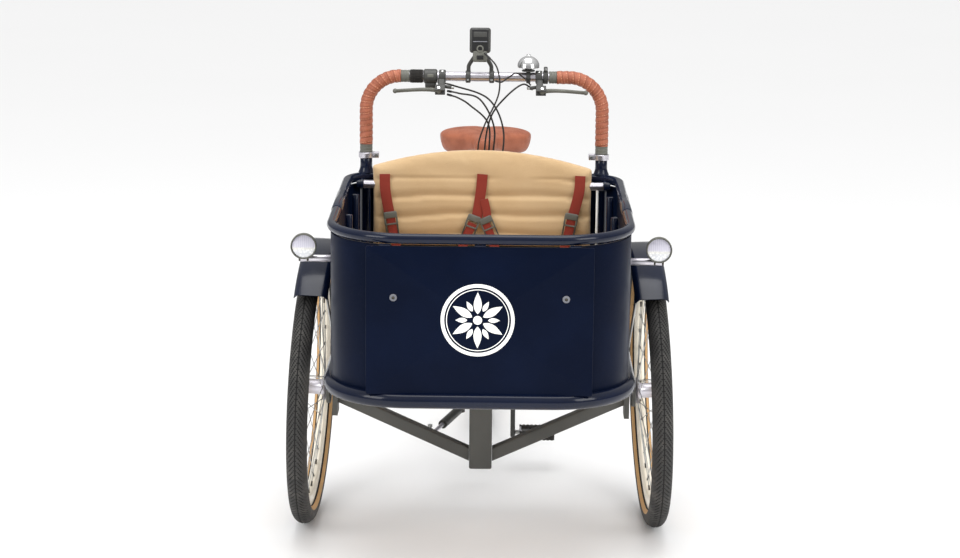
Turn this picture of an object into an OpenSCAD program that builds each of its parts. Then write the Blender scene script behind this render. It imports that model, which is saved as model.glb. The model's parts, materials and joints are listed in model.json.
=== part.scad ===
// Front-box cargo tricycle: the whole box steers on a kingpin under its floor.
// Millimetres. +Z is up, the box is at -Y and the rear wheel at +Y.
// The origin is on the ground, under the middle of the overall box.

/* [Wheels] */
// Outside diameter of all three tyres
wheel_d = 652; // [600:1:690]
// Width of a tyre
tyre_w = 48; // [40:1:54]
// Distance between the two front hubs
track = 804; // [790:1:840]
// Lean of the front wheels, bottoms outwards, in degrees
camber = 2; // [0:0.5:3]
// Angle of the front wheels, fronts outwards, in degrees
toe_out = 2.4; // [0:0.2:3]
// Spokes in each wheel
spoke_count = 36; // [24:4:36]

/* [Box] */
// Width over the top rim
box_w = 666; // [640:1:680]
// Distance from the front hubs to the front of the rim
box_front = 660; // [600:1:700]
// Distance from the front hubs back to the rear rim tube
box_rear = 139; // [120:1:150]
// Height of the middle of the top rim tube
rim_z = 812; // [790:1:830]
// Diameter of the top rim tube
rim_d = 22; // [18:1:26]
// Height of the middle of the bottom ring tube
ring_z = 463; // [455:1:475]
// Diameter of the bottom ring tube
ring_d = 34; // [28:1:38]
// Thickness of the wall panels
panel_t = 8; // [6:1:10]

/* [Steering] */
// Distance from the front hubs back to the kingpin
kingpin_back = 60; // [55:1:70]
// Diameter of the kingpin
kingpin_d = 20; // [16:1:24]
// Width of the square post under the box
post_w = 54; // [46:1:58]

/* [Handlebar] */
// Distance between the two upright legs
leg_span = 562; // [540:1:580]
// Height of the middle of the cross part
bar_z = 1053; // [1030:1:1090]
// Diameter of the handlebar tube
bar_d = 22.2; // [20:0.2:24]
// Outside diameter of the leather wrap
wrap_d = 32; // [29:1:34]
// Radius of the two top bends
bend_r = 80; // [70:1:90]

/* [Drive] */
// Distance from the front hubs back to the crank axle
crank_back = 450; // [445:1:470]
// Height of the crank axle
crank_z = 265; // [260:1:285]
// Length of a crank arm between its two axles
crank_len = 170; // [160:5:175]
// Distance from the front hubs back to the rear hub
rear_back = 930; // [920:1:950]

/* [Saddle] */
// Distance from the front hubs back to the middle of the saddle
saddle_back = 690; // [670:1:710]
// Height of the top of the saddle
saddle_z = 845; // [835:1:880]
// Width of the saddle
saddle_w = 234; // [200:2:260]

/* [Hidden] */
$fn = 48;
// Reach of the object in front of and behind the front hubs
ring_out = 8;
front_reach = box_front + ring_out;
mudguard_r = wheel_d / 2 + 22;
rear_reach = rear_back + mudguard_r;
hub_y = (front_reach - rear_reach) / 2;
// Gap left between pieces that only stand next to each other
gap = 0.4;
// Radial clearance of a running fit
fit = 0.05;
// Front wheels
tyre_r = tyre_w / 2;
rim_line = wheel_d / 2 - tyre_r;
seat_r = rim_line - 18;
hub_z = rim_line * cos(camber) + tyre_r;
axle_d = 15;
hub_half = 36;
flange_r = 32;
// Rear wheel
rear_y = hub_y + rear_back;
rear_z = wheel_d / 2;
// Box
front_y = hub_y - box_front;
back_y = hub_y + box_rear;
rim_r = rim_d / 2;
ring_r = ring_d / 2;
corner_front = 170;
corner_rear = 80;
wall_half = box_w / 2 - ring_out;
wall_bottom = ring_z + ring_r + 1;
wall_top = 797;
front_half = 240;
floor_t = 10;
// Steering head
king_y = hub_y + kingpin_back;
head_r = 23;
head_low = 156;
head_high = 300;
plate_t = 10;
post_low = 132;
post_half = post_w / 2;
strut_t = 30;
upright_x = 352;
beam_h = 30;
beam_z = ring_z - beam_h / 2;
// Handlebar
leg_x = leg_span / 2;
post_r = 14.3;
post_top = 856;
clamp_h = 14;
wrap_low = post_top + clamp_h + 20;
leg_low = 760;
bar_r = bar_d / 2;
// Drive
crank_y = hub_y + crank_back;
arm_x = 79;
ring_teeth_r = 82;
sprocket_r = 42;
chain_x = 50;
// Saddle
seat_lean = 22;
saddle_y = hub_y + saddle_back;
post_foot_z = 470;
seat_tube_top = 640;
// Bench
bench_z = 600;
cushion_t = 36;
pad_y = back_y - 36;
pad_t = 34;
pad_half = 256;
strap_y = pad_y - pad_t / 2 - 2;
pad_top = 842;
bar_low_z = 798;
// Steering damper: its pin on the frame, the eye of its rod and the stud above that eye
damper_foot = [-56, king_y + 232, 196];
damper_eye = [-122, hub_y + 40, 196];
damper_stud = [-122, hub_y + 40];
damper_dir = (damper_eye - damper_foot) / norm(damper_eye - damper_foot);
// Brake levers: how far their pivots lie from the bar, and the turn that brings them forwards
pivot_drop = 42;
lever_turn = -45;
left_lever_x = -100;
right_lever_x = 129;
// The line that the cables follow down behind the box
clip_y = back_y + 30;
// Lamps
lamp_x = 393;
lamp_y = hub_y - 358;
lamp_z = 737;
lamp_r = 29;
arm_z = 706;
arm_y = hub_y - 340;

// A round bar from point a to point b
module rod(a, b, r) {
    v = b - a;
    length = norm(v);
    translate(a)
        rotate([0, acos(v[2] / length), atan2(v[1], v[0])])
            cylinder(h = length, r = r);
}

// A square bar from point a to point b in the plane across the bike
module square_bar(a, b, w, d) {
    v = b - a;
    translate(a)
        rotate([0, atan2(v[0], v[2]), 0])
            translate([-w / 2, -d / 2, 0])
                cube([w, d, norm(v)]);
}

// A box given by its middle and its size
module block(middle, size) {
    translate(middle) cube(size, center = true);
}

// The outline of the box seen from above
module plan(half, y0, y1, rf, rr) {
    translate([-half, y0 + rf]) square([2 * half, y1 - y0 - rf - rr]);
    translate([-half + rf, y0]) square([2 * (half - rf), rf]);
    translate([-half + rr, y1 - rr]) square([2 * (half - rr), rr]);
    for (s = [-1, 1]) {
        translate([s * (half - rf), y0 + rf]) circle(r = rf, $fn = 96);
        translate([s * (half - rr), y1 - rr]) circle(r = rr, $fn = 96);
    }
}

// A quarter of a bent tube, turned to its corner
module quarter_bend(x, y, z, turn, bend, r) {
    translate([x, y, z])
        rotate([0, 0, turn])
            rotate_extrude(angle = 90, $fn = 96)
                translate([bend, 0]) circle(r = r, $fn = 32);
}

// A tube that follows the outline of the box
module tube_ring(half, y0, y1, rf, rr, z, r) {
    rod([-half, y0 + rf, z], [-half, y1 - rr, z], r);
    rod([half, y0 + rf, z], [half, y1 - rr, z], r);
    rod([-half + rf, y0, z], [half - rf, y0, z], r);
    rod([-half + rr, y1, z], [half - rr, y1, z], r);
    quarter_bend(half - rr, y1 - rr, z, 0, rr, r);
    quarter_bend(-half + rr, y1 - rr, z, 90, rr, r);
    quarter_bend(-half + rf, y0 + rf, z, 180, rf, r);
    quarter_bend(half - rf, y0 + rf, z, 270, rf, r);
}

// Points on a smooth line through the given points
function between(a, b, c, d, t) =
    0.5 * (2 * b + (c - a) * t + (2 * a - 5 * b + 4 * c - d) * t * t
    + (3 * b - a - 3 * c + d) * t * t * t);
function smooth(p, n) = [
    for (i = [0 : len(p) - 2]) for (k = [0 : n - 1])
        between(p[max(i - 1, 0)], p[i], p[i + 1], p[min(i + 2, len(p) - 1)], k / n),
    p[len(p) - 1]
];
function unit(v) = v / norm(v);
function ring_points(p, i, r, sides) =
    let (along = unit(p[min(i + 1, len(p) - 1)] - p[max(i - 1, 0)]))
    let (side = unit(cross(along, [0, 1, 0])))
    let (up = cross(side, along))
    [for (k = [0 : sides - 1]) p[i] + r * (cos(360 * k / sides) * side + sin(360 * k / sides) * up)];

// A flexible cable through the given points
module cable(points, r, steps = 4, sides = 8) {
    p = smooth(points, steps);
    n = len(p);
    polyhedron(
        points = [for (i = [0 : n - 1]) each ring_points(p, i, r, sides)],
        faces = [
            [for (k = [sides - 1 : -1 : 0]) k],
            [for (k = [0 : sides - 1]) (n - 1) * sides + k],
            for (i = [0 : n - 2]) for (k = [0 : sides - 1])
                [
                    i * sides + (k + 1) % sides, (i + 1) * sides + (k + 1) % sides,
                    (i + 1) * sides + k, i * sides + k
                ]
        ]
    );
}

// Places children in the frame of a front wheel: X is the axle, outwards on both sides
module at_front_wheel(side) {
    translate([side * track / 2, hub_y, hub_z])
        rotate([0, -side * camber, side * toe_out])
            mirror([side < 0 ? 1 : 0, 0, 0])
                children();
}

// Turns a lathe shape so that its axis is the axle
module on_axle() {
    rotate([0, 90, 0]) children();
}

// A tyre with a flat bead seat
module tyre() {
    color("#26262a") on_axle() rotate_extrude($fn = 120) difference() {
        translate([rim_line, 0]) circle(r = tyre_r, $fn = 48);
        translate([0, -tyre_w]) square([seat_r, 2 * tyre_w]);
    }
}

// Rim, spokes and hub, laced as one wheel, with a bore for the axle
module wheel_centre(bore_r, half, hub_r) {
    color("#d8d2c0") on_axle() rotate_extrude($fn = 120)
        polygon([
            [seat_r, -11], [seat_r, 11], [seat_r - 12, 12],
            [seat_r - 20, 7], [seat_r - 20, -7], [seat_r - 12, -12]
        ]);
    color("silver") on_axle() difference() {
        union() {
            cylinder(h = 2 * half, r = hub_r, center = true);
            for (s = [-1, 1])
                translate([0, 0, s * (half - 6)]) cylinder(h = 4, r = hub_r + 10, center = true);
        }
        cylinder(h = 2 * half + 2, r = bore_r, center = true);
    }
    color("#c8c8c8") for (i = [0 : spoke_count - 1]) {
        s = i % 2 == 0 ? 1 : -1;
        turn = 360 * i / spoke_count;
        lead = (i % 4 < 2 ? 1 : -1) * 52;
        hub_end = [s * (half - 6), (hub_r + 6) * sin(turn + lead), (hub_r + 6) * cos(turn + lead)];
        rim_end = [0, (seat_r - 18) * sin(turn), (seat_r - 18) * cos(turn)];
        rod(hub_end, rim_end, 1, $fn = 6);
    }
}

module left_tyre() { at_front_wheel(-1) tyre(); }
module right_tyre() { at_front_wheel(1) tyre(); }
module rear_tyre() { translate([0, rear_y, rear_z]) tyre(); }
module left_wheel() { at_front_wheel(-1) wheel_centre(axle_d / 2 + fit, hub_half, flange_r - 10); }
module right_wheel() { at_front_wheel(1) wheel_centre(axle_d / 2 + fit, hub_half, flange_r - 10); }

// Rear wheel: a wide geared hub with its sprocket
module rear_wheel() {
    translate([0, rear_y, rear_z]) {
        wheel_centre(6 + fit, 34, 40);
        color("dimgray") translate([chain_x, 0, 0]) on_axle() difference() {
            union() {
                cylinder(h = 3, r = sprocket_r, center = true);
                translate([0, 0, -16]) cylinder(h = 16, r = 24);
            }
            translate([0, 0, -20]) cylinder(h = 40, r = 6 + fit);
        }
    }
}

// Fixed rear axle with its two nuts
module rear_axle() {
    color("silver") translate([0, rear_y, rear_z]) on_axle() {
        cylinder(h = 168, r = 6, center = true);
        for (s = [-1, 1]) translate([0, 0, s * 79]) cylinder(h = 8, r = 11, center = true, $fn = 6);
    }
}

// Stub axle: an upright plate on the strut's end, its brake plate and the axle pin
module stub_axle(side) {
    color("#3a3d42") difference() {
        block([side * (upright_x - 6), hub_y, (262 + beam_z) / 2], [12, 60, beam_z - 262]);
        translate([side * upright_x, hub_y, hub_z]) on_axle() cylinder(h = 60, r = 7, center = true);
    }
    at_front_wheel(side) {
        color("silver") on_axle() translate([0, 0, -hub_half - 7]) cylinder(h = 85, r = axle_d / 2);
        color("#77797c") on_axle() translate([0, 0, -hub_half - 9]) cylinder(h = 8, r = 38);
    }
}
module left_stub_axle() { stub_axle(-1); }
module right_stub_axle() { stub_axle(1); }

// Square post under the box with the two plates that hold the kingpin
module steering_head() {
    color("#3a3d42") difference() {
        union() {
            block([0, hub_y, (post_low + beam_z) / 2], [post_w, 50, beam_z - post_low]);
            for (z = [head_low - plate_t - 1, head_high + 1]) {
                block([0, (hub_y + 25 + king_y) / 2, z + plate_t / 2], [50, king_y - hub_y - 25, plate_t]);
                translate([0, king_y, z]) cylinder(h = plate_t, r = 25);
            }
        }
        translate([0, king_y, head_low - 40]) cylinder(h = 240, r = kingpin_d / 2);
    }
}

// Kingpin with its head and nut
module kingpin() {
    color("silver") translate([0, king_y, 0]) {
        translate([0, 0, head_low - plate_t - 1]) cylinder(h = head_high - head_low + 2 * plate_t + 2, r = kingpin_d / 2);
        translate([0, 0, head_high + plate_t + 1]) cylinder(h = 9, r = 15, $fn = 6);
        translate([0, 0, head_low - plate_t - 10]) cylinder(h = 9, r = 15, $fn = 6);
    }
}

// V-shaped struts from the post up to the stub axles, and the damper's ball stud
module axle_struts() {
    low_z = 168;
    high_z = 312;
    color("#4a4d50") for (s = [-1, 1]) difference() {
        square_bar([0, hub_y, low_z - 15], [s * (upright_x + 20), hub_y, high_z + 9], strut_t, strut_t);
        block([0, hub_y, 250], [post_w + 2 * gap, 80, 400]);
        block([s * (upright_x + 40 - 12), hub_y, 320], [80, 80, 200]);
    }
    color("#222222") {
        block([damper_stud[0], hub_y + strut_t / 2 + 14, 210], [14, 28, 8]);
        translate([damper_stud[0], damper_stud[1], 204]) cylinder(h = 20, r = 5);
    }
}

// Steel beams that carry the box on the post
module floor_beams() {
    side_in = box_w / 2 + ring_out - ring_d;
    color("#3a3d42") {
        block([0, hub_y, ring_z], [2 * side_in, 50, beam_h]);
        for (s = [-1, 1]) {
            block([s * 120, (front_y + hub_y) / 2, ring_z], [30, box_front - 2 * ring_r - 34, beam_h]);
            block([s * 120, (hub_y + back_y) / 2, ring_z], [30, box_rear - ring_d - 4, beam_h]);
            block([s * (side_in - 14), hub_y, beam_z - 10], [40, 50, 20]);
        }
    }
}

module bottom_ring() {
    half = box_w / 2 + ring_out - ring_r;
    color("#16203a") tube_ring(half, front_y - ring_out + ring_r, back_y + ring_out, corner_front,
        corner_rear, ring_z, ring_r);
}

// Top rim with a joint sleeve on each side
module top_rim() {
    half = box_w / 2 - rim_r;
    color("#2a3554") difference() {
        union() {
            rim_space(0);
            for (s = [-1, 1])
                rod([s * half, hub_y - 330, rim_z], [s * half, hub_y - 120, rim_z], rim_r + 1);
        }
        for (s = [-1, 1])
            translate([s * leg_x, back_y, rim_z - 40]) cylinder(h = 80, r = bar_r + gap);
    }
}

// The room that the rim takes up, with a little air round it
module rim_space(air) {
    tube_ring(box_w / 2 - rim_r, front_y + rim_r, back_y, corner_front, corner_rear, rim_z, rim_r + air);
}

module floor_panel() {
    color("#16203a") translate([0, 0, ring_z + beam_h / 2]) linear_extrude(floor_t)
        plan(wall_half - ring_r - 23, front_y + 40, back_y - 16, corner_front - 30, corner_rear - 20);
}

// Wall that follows the outline, left over between the two flat panels
module side_panel(side) {
    y0 = front_y + 14;
    y1 = back_y + 9;
    color("#131c34") difference() {
        translate([0, 0, wall_bottom]) linear_extrude(wall_top - wall_bottom) difference() {
            plan(wall_half, y0, y1, corner_front, corner_rear);
            plan(wall_half - panel_t, y0 + panel_t, y1 - panel_t, corner_front - panel_t,
                corner_rear - panel_t);
        }
        block([-side * 200, hub_y, 640], [800, 1600, 400]);
        block([0, back_y, 640], [2 * (leg_x + post_r + gap), 200, 400]);
    }
}
module left_side_panel() { side_panel(-1); }
module right_side_panel() { side_panel(1); }

// Flat front panel that stands in front of the curved corners
module front_panel() {
    color("#131c34") block([0, front_y + 9, (491 + wall_top) / 2], [2 * front_half, panel_t, wall_top - 491]);
}

module rear_panel() {
    color("#131c34") difference() {
        block([0, back_y + 5, (wall_bottom + wall_top) / 2], [522, panel_t, wall_top - wall_bottom]);
        for (s = [-1, 1]) translate([s * leg_x, back_y, 400]) cylinder(h = 500, r = post_r + gap);
    }
}

// Screws, tabs under the rim and the small corner brackets
module panel_fixings() {
    color("#5a5d66") for (s = [-1, 1])
        translate([s * 182, front_y + 5, 687]) rotate([90, 0, 0]) cylinder(h = 3, r = 8);
    color("#2a3554") for (x = [-200, 0, 200])
        block([x, front_y + 12, 799], [24, 14, 3.2]);
    color("silver") for (s = [-1, 1])
        block([s * (wall_half - panel_t - 2 - gap), hub_y - 420, 785], [4, 16, 32]);
}

// Upright tubes inside the box: the two rear ones carry the handlebar
module box_uprights() {
    z0 = ring_z + ring_r - 2;
    color("#131c34") for (s = [-1, 1]) {
        difference() {
            union() {
                translate([s * leg_x, back_y, rim_z + rim_r - 3]) cylinder(h = post_top - rim_z - rim_r + 3, r = post_r);
                translate([s * leg_x, back_y, rim_z + rim_r - 3]) cylinder(h = 16, r1 = 19, r2 = post_r);
            }
            translate([s * leg_x, back_y, 700]) cylinder(h = 300, r = bar_r + fit);
            rim_space(gap);
        }
        difference() {
            translate([s * leg_x, back_y, z0 + 4]) cylinder(h = rim_z - rim_r - z0 - 5, r = post_r);
            translate([s * leg_x, back_y, 700]) cylinder(h = 300, r = bar_r + fit);
        }
        rod([s * 296, hub_y - 300, z0], [s * 296, hub_y - 300, rim_z - 14], 8);
        rod([s * 296, hub_y - 40, z0], [s * 296, hub_y - 40, rim_z - 14], 8);
    }
}

module bench_board() {
    color("#b98a56") difference() {
        block([0, hub_y - 60, bench_z - 7], [560, 270, 14]);
        for (s = [-1, 1]) translate([s * 160, hub_y - 60, bench_z]) cylinder(h = 40, r = 12, center = true);
    }
    color("#b98a56") block([0, hub_y - 188, (ring_z + 26 + bench_z - 14) / 2], [560, 12, bench_z - 14 - ring_z - 26]);
}

module bench_cushion() {
    color("#d8b483") block([0, hub_y - 62, bench_z + gap + cushion_t / 2], [548, 262, cushion_t]);
}

// Padded canvas backrest hung on the cross tube
module backrest_pad() {
    low = bench_z + cushion_t + 4;
    color("#d8b483") difference() {
        translate([0, pad_y + pad_t / 2, 0]) rotate([90, 0, 0]) linear_extrude(pad_t)
            polygon([
                [-pad_half, low], [pad_half, low], [pad_half, pad_top], [150, 862], [60, 874],
                [-60, 876], [-150, 866], [-pad_half, pad_top - 2]
            ]);
        rod([-300, pad_y, bar_low_z], [300, pad_y, bar_low_z], 10 + gap);
    }
}

// Silver cross tube, its two sockets and the thin upright beside the pad
module backrest_bar() {
    color("silver") {
        rod([-286, pad_y, bar_low_z], [286, pad_y, bar_low_z], 10);
        for (s = [-1, 1])
            rod([s * 262, pad_y, bench_z + 2], [s * 262, pad_y, bar_low_z], 3.5);
    }
    color("#16203a") difference() {
        for (s = [-1, 1])
            rod([s * 287, pad_y, bar_low_z], [s * (wall_half - panel_t - 1), pad_y, bar_low_z], 14);
        rim_space(gap);
        difference() {
            block([0, pad_y, bar_low_z], [2 * wall_half, 100, 60]);
            translate([0, 0, bar_low_z - 60]) linear_extrude(120)
                plan(wall_half - panel_t - gap, front_y + 22, back_y + 1 - gap, corner_front - panel_t,
                    corner_rear - panel_t);
        }
    }
}

// Flat webbing from point a to point b on the face of the pad
module webbing(a, b, w, y) {
    v = b - a;
    length = norm(v);
    translate([a[0], y, a[1]])
        rotate([0, 90 - atan2(v[1], v[0]), 0])
            translate([-w / 2, -1, 0]) cube([w, 2, length]);
}

module harness_straps() {
    color("#a23a2a") {
        webbing([-234, 822], [-221, 725], 22, strap_y);
        webbing([-2, 822], [-14, 722], 22, strap_y);
        webbing([230, 824], [212, 726], 22, strap_y);
        webbing([-218, 714], [-205, 645], 20, strap_y);
        webbing([8, 702], [34, 645], 20, strap_y);
        webbing([-28, 706], [-52, 645], 20, strap_y);
        webbing([207, 714], [192, 645], 20, strap_y);
    }
}

// A rectangular strap adjuster
module adjuster(x, z, turn, h) {
    translate([x, pad_y - pad_t / 2 - 6, z]) rotate([0, turn, 0]) difference() {
        cube([30, 5, h], center = true);
        translate([0, 0, -3]) cube([22, 8, h - 14], center = true);
    }
}
module harness_buckles() {
    color("#4c4c4a") {
        adjuster(-219.5, 722, -8, 30);
        adjuster(10, 712, -24, 34);
        adjuster(-24, 716, 20, 30);
        adjuster(209, 722, 10, 30);
    }
}

// Silver handlebar tube: an upside-down U
module handlebar() {
    color("silver") {
        for (s = [-1, 1]) {
            rod([s * leg_x, back_y, leg_low], [s * leg_x, back_y, bar_z - bend_r], bar_r);
            translate([s * (leg_x - bend_r), back_y, bar_z - bend_r])
                rotate([90, 0, 0])
                    rotate([0, 0, s > 0 ? 0 : 90])
                        rotate_extrude(angle = 90, $fn = 96)
                            translate([bend_r, 0]) circle(r = bar_r, $fn = 32);
        }
        rod([-leg_x + bend_r, back_y, bar_z], [leg_x - bend_r, back_y, bar_z], bar_r);
    }
}

// A round sleeve along the cross part
module bar_sleeve(x0, x1, r) {
    difference() {
        rod([x0, back_y, bar_z], [x1, back_y, bar_z], r);
        rod([x0 - 1, back_y, bar_z], [x1 + 1, back_y, bar_z], bar_r);
    }
}

module post_clamps() {
    color("#dcdcdc") for (s = [-1, 1]) difference() {
        union() {
            translate([s * leg_x, back_y, post_top]) cylinder(h = clamp_h, r = 18);
            block([s * (leg_x - 22), back_y, post_top + clamp_h / 2], [16, 16, clamp_h]);
        }
        translate([s * leg_x, back_y, post_top - 1]) cylinder(h = clamp_h + 2, r = bar_r);
        translate([s * (leg_x - 24), back_y, post_top + clamp_h / 2]) rotate([90, 0, 0])
            cylinder(h = 40, r = 2.75, center = true);
    }
}

// Leather wraps on the legs, round the bends and along the cross part
module bar_wraps() {
    color("#c8683c") for (s = [-1, 1]) {
        wrap_end = s < 0 ? -199 : 172;
        difference() {
            union() {
                rod([s * leg_x, back_y, wrap_low], [s * leg_x, back_y, bar_z - bend_r], wrap_d / 2);
                translate([s * (leg_x - bend_r), back_y, bar_z - bend_r])
                    rotate([90, 0, 0])
                        rotate([0, 0, s > 0 ? 0 : 90])
                            rotate_extrude(angle = 90, $fn = 96)
                                translate([bend_r, 0]) circle(r = wrap_d / 2, $fn = 32);
                rod([s * (leg_x - bend_r), back_y, bar_z], [wrap_end, back_y, bar_z], wrap_d / 2);
            }
            rod([s * leg_x, back_y, wrap_low - 5], [s * leg_x, back_y, bar_z - bend_r], bar_r);
            translate([s * (leg_x - bend_r), back_y, bar_z - bend_r])
                rotate([90, 0, 0])
                    rotate([0, 0, s > 0 ? 0 : 90])
                        rotate_extrude(angle = 90, $fn = 96)
                            translate([bend_r, 0]) circle(r = bar_r, $fn = 32);
            rod([s * (leg_x - bend_r), back_y, bar_z], [wrap_end - s * 5, back_y, bar_z], bar_r);
        }
    }
}

module bar_sleeves() {
    color("#6a6b68") {
        for (s = [-1, 1]) difference() {
            translate([s * leg_x, back_y, post_top + clamp_h + gap]) cylinder(h = wrap_low - post_top - clamp_h - 2 * gap, r = 15);
            translate([s * leg_x, back_y, post_top]) cylinder(h = 60, r = bar_r);
        }
        bar_sleeve(-198.6, -178, 14.5);
        bar_sleeve(153, 171.6, 14.5);
    }
}
module twist_grip() {
    color("#333333") difference() {
        union() {
            rod([-177.6, back_y, bar_z], [-145.4, back_y, bar_z], 15.5);
            for (i = [0 : 11]) rotate_about_bar(30 * i) block([-161.5, back_y, bar_z + 15.3], [30, 3, 2]);
        }
        rod([-180, back_y, bar_z], [-140, back_y, bar_z], bar_r + fit);
    }
}
module rotate_about_bar(angle) {
    translate([0, back_y, bar_z]) rotate([angle, 0, 0]) translate([0, -back_y, -bar_z]) children();
}

// The clamp and the fork that hold a brake lever, with the fork turned forwards and down
module lever_holder(x, side) {
    rotate_about_bar(lever_turn) difference() {
        union() {
            rod([x - 8, back_y, bar_z], [x + 8, back_y, bar_z], 16);
            block([x + side * 2, back_y, bar_z - 24], [16, 18, 20]);
            for (dy = [-1, 1])
                block([x + side * 5, back_y + dy * 8, bar_z - pivot_drop + 2], [24, 3, 17]);
        }
        rod([x - 20, back_y, bar_z], [x + 20, back_y, bar_z], bar_r);
        translate([x + side * 8, back_y, bar_z - pivot_drop]) rotate([90, 0, 0])
            cylinder(h = 40, r = 2.5, center = true);
    }
}
module lever_clamps() {
    color("#2c2c2e") {
        lever_holder(left_lever_x, -1);
        lever_holder(right_lever_x, 1);
        bar_sleeve(-144.8, -112, 17);
        bar_sleeve(139, 151, 16);
        block([-128, back_y, bar_z - 22], [26, 22, 12]);
        block([145, back_y - 4, bar_z + 20], [9, 12, 10]);
    }
}

// A brake lever with a ball end, and its own pivot pin
module brake_lever(x, side) {
    px = x + side * 8;
    pz = bar_z - pivot_drop;
    color("#4a4a4a") rotate_about_bar(lever_turn) {
        translate([px, back_y, pz]) rotate([90, 0, 0]) cylinder(h = 12, r = 6, center = true);
        translate([px, back_y, pz]) rotate([90, 0, 0]) cylinder(h = 20, r = 2.45, center = true);
        rod([px, back_y, pz], [px + side * 50, back_y, pz + 2], 4.5);
        rod([px + side * 50, back_y, pz + 2], [px + side * 103, back_y, pz - 3], 4);
        translate([px + side * 103, back_y, pz - 3]) sphere(r = 6, $fn = 32);
    }
}
module left_brake_lever() { brake_lever(left_lever_x, -1); }
module right_brake_lever() { brake_lever(right_lever_x, 1); }

// Display on two splayed arms
module display_unit() {
    color("#2a2a2c") {
        difference() {
            translate([-11, back_y - 8, 1128]) rotate([-12, 0, 0]) cube([50, 16, 68], center = true);
            translate([-11, back_y + 2, 1112]) rotate([-12, 0, 0]) cube([9, 12, 9], center = true);
        }
        for (s = [-1, 1]) {
            rod([-11 + s * 26, back_y, bar_z + 15], [-11 + s * 14, back_y - 8, 1098], 5);
            bar_sleeve(-11 + s * 28 - 6, -11 + s * 28 + 6, 15);
        }
    }
}
module display_button() {
    color("#8a8a8a") translate([-11, back_y + 2, 1112]) rotate([-12, 0, 0]) cube([8, 9, 8], center = true);
}

// Bell on the bar with its thumb lever
module bell() {
    color("silver") {
        translate([104, back_y, bar_z + 24]) rotate_extrude($fn = 64) polygon(concat(
            [for (a = [0 : 7 : 84]) 27 * [cos(a), sin(a)]],
            [for (a = [80 : -8 : 0]) 24.5 * [cos(a), sin(a)]]
        ));
        translate([104, back_y, bar_z + 50]) cylinder(h = 5, r = 6);
    }
    color("#2c2c2e") {
        bar_sleeve(99, 109, 15);
        translate([104, back_y, bar_z + 13]) cylinder(h = 39, r = 4);
        translate([104, back_y, bar_z + 14]) cylinder(h = 3.5, r = 15.5);
    }
}
module bell_lever() {
    color("#2c2c2e") {
        difference() {
            translate([104, back_y, bar_z + 18.5]) cylinder(h = 3, r = 9);
            translate([104, back_y, bar_z + 10]) cylinder(h = 20, r = 4 + fit);
        }
        block([104, back_y + 25, bar_z + 20], [8, 36, 3]);
    }
}

// Control cables from the levers to the clips behind the box
module control_cables() {
    color("#1c1c1e") {
        cable([
            [-88, back_y - 14, 1020], [-60, back_y - 24, 1016], [-10, back_y - 12, 1000],
            [24, back_y + 8, 930], [20, clip_y, 840], [18, clip_y, 700], [18, clip_y, 500],
            [18, clip_y, 440]
        ], 2.5, 4);
        cable([
            [-112, back_y + 24, 1036], [-70, back_y + 30, 1026], [10, back_y + 34, 995],
            [46, clip_y + 10, 920], [40, clip_y + 4, 820], [30, clip_y, 700], [30, clip_y, 500],
            [30, clip_y, 440]
        ], 2.5, 4);
        cable([
            [114, back_y - 16, 1026], [90, back_y - 34, 1040], [50, back_y - 44, 1010],
            [16, back_y - 26, 960], [2, back_y + 4, 880], [6, clip_y, 780], [6, clip_y, 600],
            [6, clip_y, 440]
        ], 2.5, 4);
        cable([
            [0, back_y - 26, 1112], [30, back_y - 52, 1080], [34, back_y - 58, 1020],
            [0, back_y - 44, 940], [-14, back_y - 6, 880], [-6, clip_y, 800], [-6, clip_y, 600], [-6, clip_y, 440]
        ], 2, 4);
    }
    color("#111111") for (z = [740, 560])
        block([12, back_y + 21.5, z], [60, 24, 8]);
}

module lamp_arms() {
    color("silver") for (s = [-1, 1]) {
        rod([s * (wall_half + gap), arm_y, arm_z], [s * (lamp_x + 9), arm_y, arm_z], 8);
        rod([s * lamp_x, arm_y, arm_z + 6], [s * lamp_x, arm_y, arm_z + 14], 4);
        translate([s * (wall_half + 4), arm_y, arm_z]) on_axle() cylinder(h = 6, r = 16, center = true);
    }
}

// Round lamps with a domed back
module front_lamps() {
    for (s = [-1, 1]) translate([s * lamp_x, lamp_y, lamp_z]) rotate([90, 0, 0]) {
        color("#2c2c2e") difference() {
            union() {
                translate([0, 0, -6]) cylinder(h = 16, r = lamp_r);
                translate([0, 0, -24]) cylinder(h = 18, r1 = 12, r2 = 26);
            }
            translate([0, 0, 3]) cylinder(h = 10, r = lamp_r - 3);
            translate([0, -28, -18]) rotate([-90, 0, 0]) cylinder(h = 12, r = 4);
        }
        color("#e8eef2") translate([0, 0, 3 + gap]) cylinder(h = 5, r = lamp_r - 3.5);
    }
}

// Mudguard shell over a wheel, from one angle to another: 0 is down, 90 back, 180 up and 270 front
module guard_shell(half_w, from_a, to_a, r) {
    rotate([0, 90, 0]) rotate([0, 0, from_a]) rotate_extrude(angle = to_a - from_a, $fn = 120)
        difference() {
            translate([r - 14, -half_w]) square([14, 2 * half_w]);
            translate([r - 16, -half_w + 2]) square([14, 2 * half_w - 4]);
        }
}
module front_mudguard(side) {
    color("#1b2644") at_front_wheel(side) translate([-13, 0, 0])
        guard_shell(39, 122, 220, mudguard_r + 6);
    color("silver") {
        rod([side * (upright_x - 6), hub_y + 33.4, 436], [side * (upright_x + 6), hub_y + 250, 520], 3);
        rod([side * (upright_x - 6), hub_y - 33.4, 436], [side * (upright_x + 2), hub_y - 200, 592], 3);
    }
}
module left_mudguard() { front_mudguard(-1); }
module right_mudguard() { front_mudguard(1); }
module rear_mudguard() {
    color("#1b2644") translate([0, rear_y, rear_z]) guard_shell(32, 78, 252, mudguard_r);
    color("silver") for (s = [-1, 1])
        rod([s * 84, rear_y + 12, rear_z + 12], [s * 35, rear_y + 300, rear_z + 162], 3);
}

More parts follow.
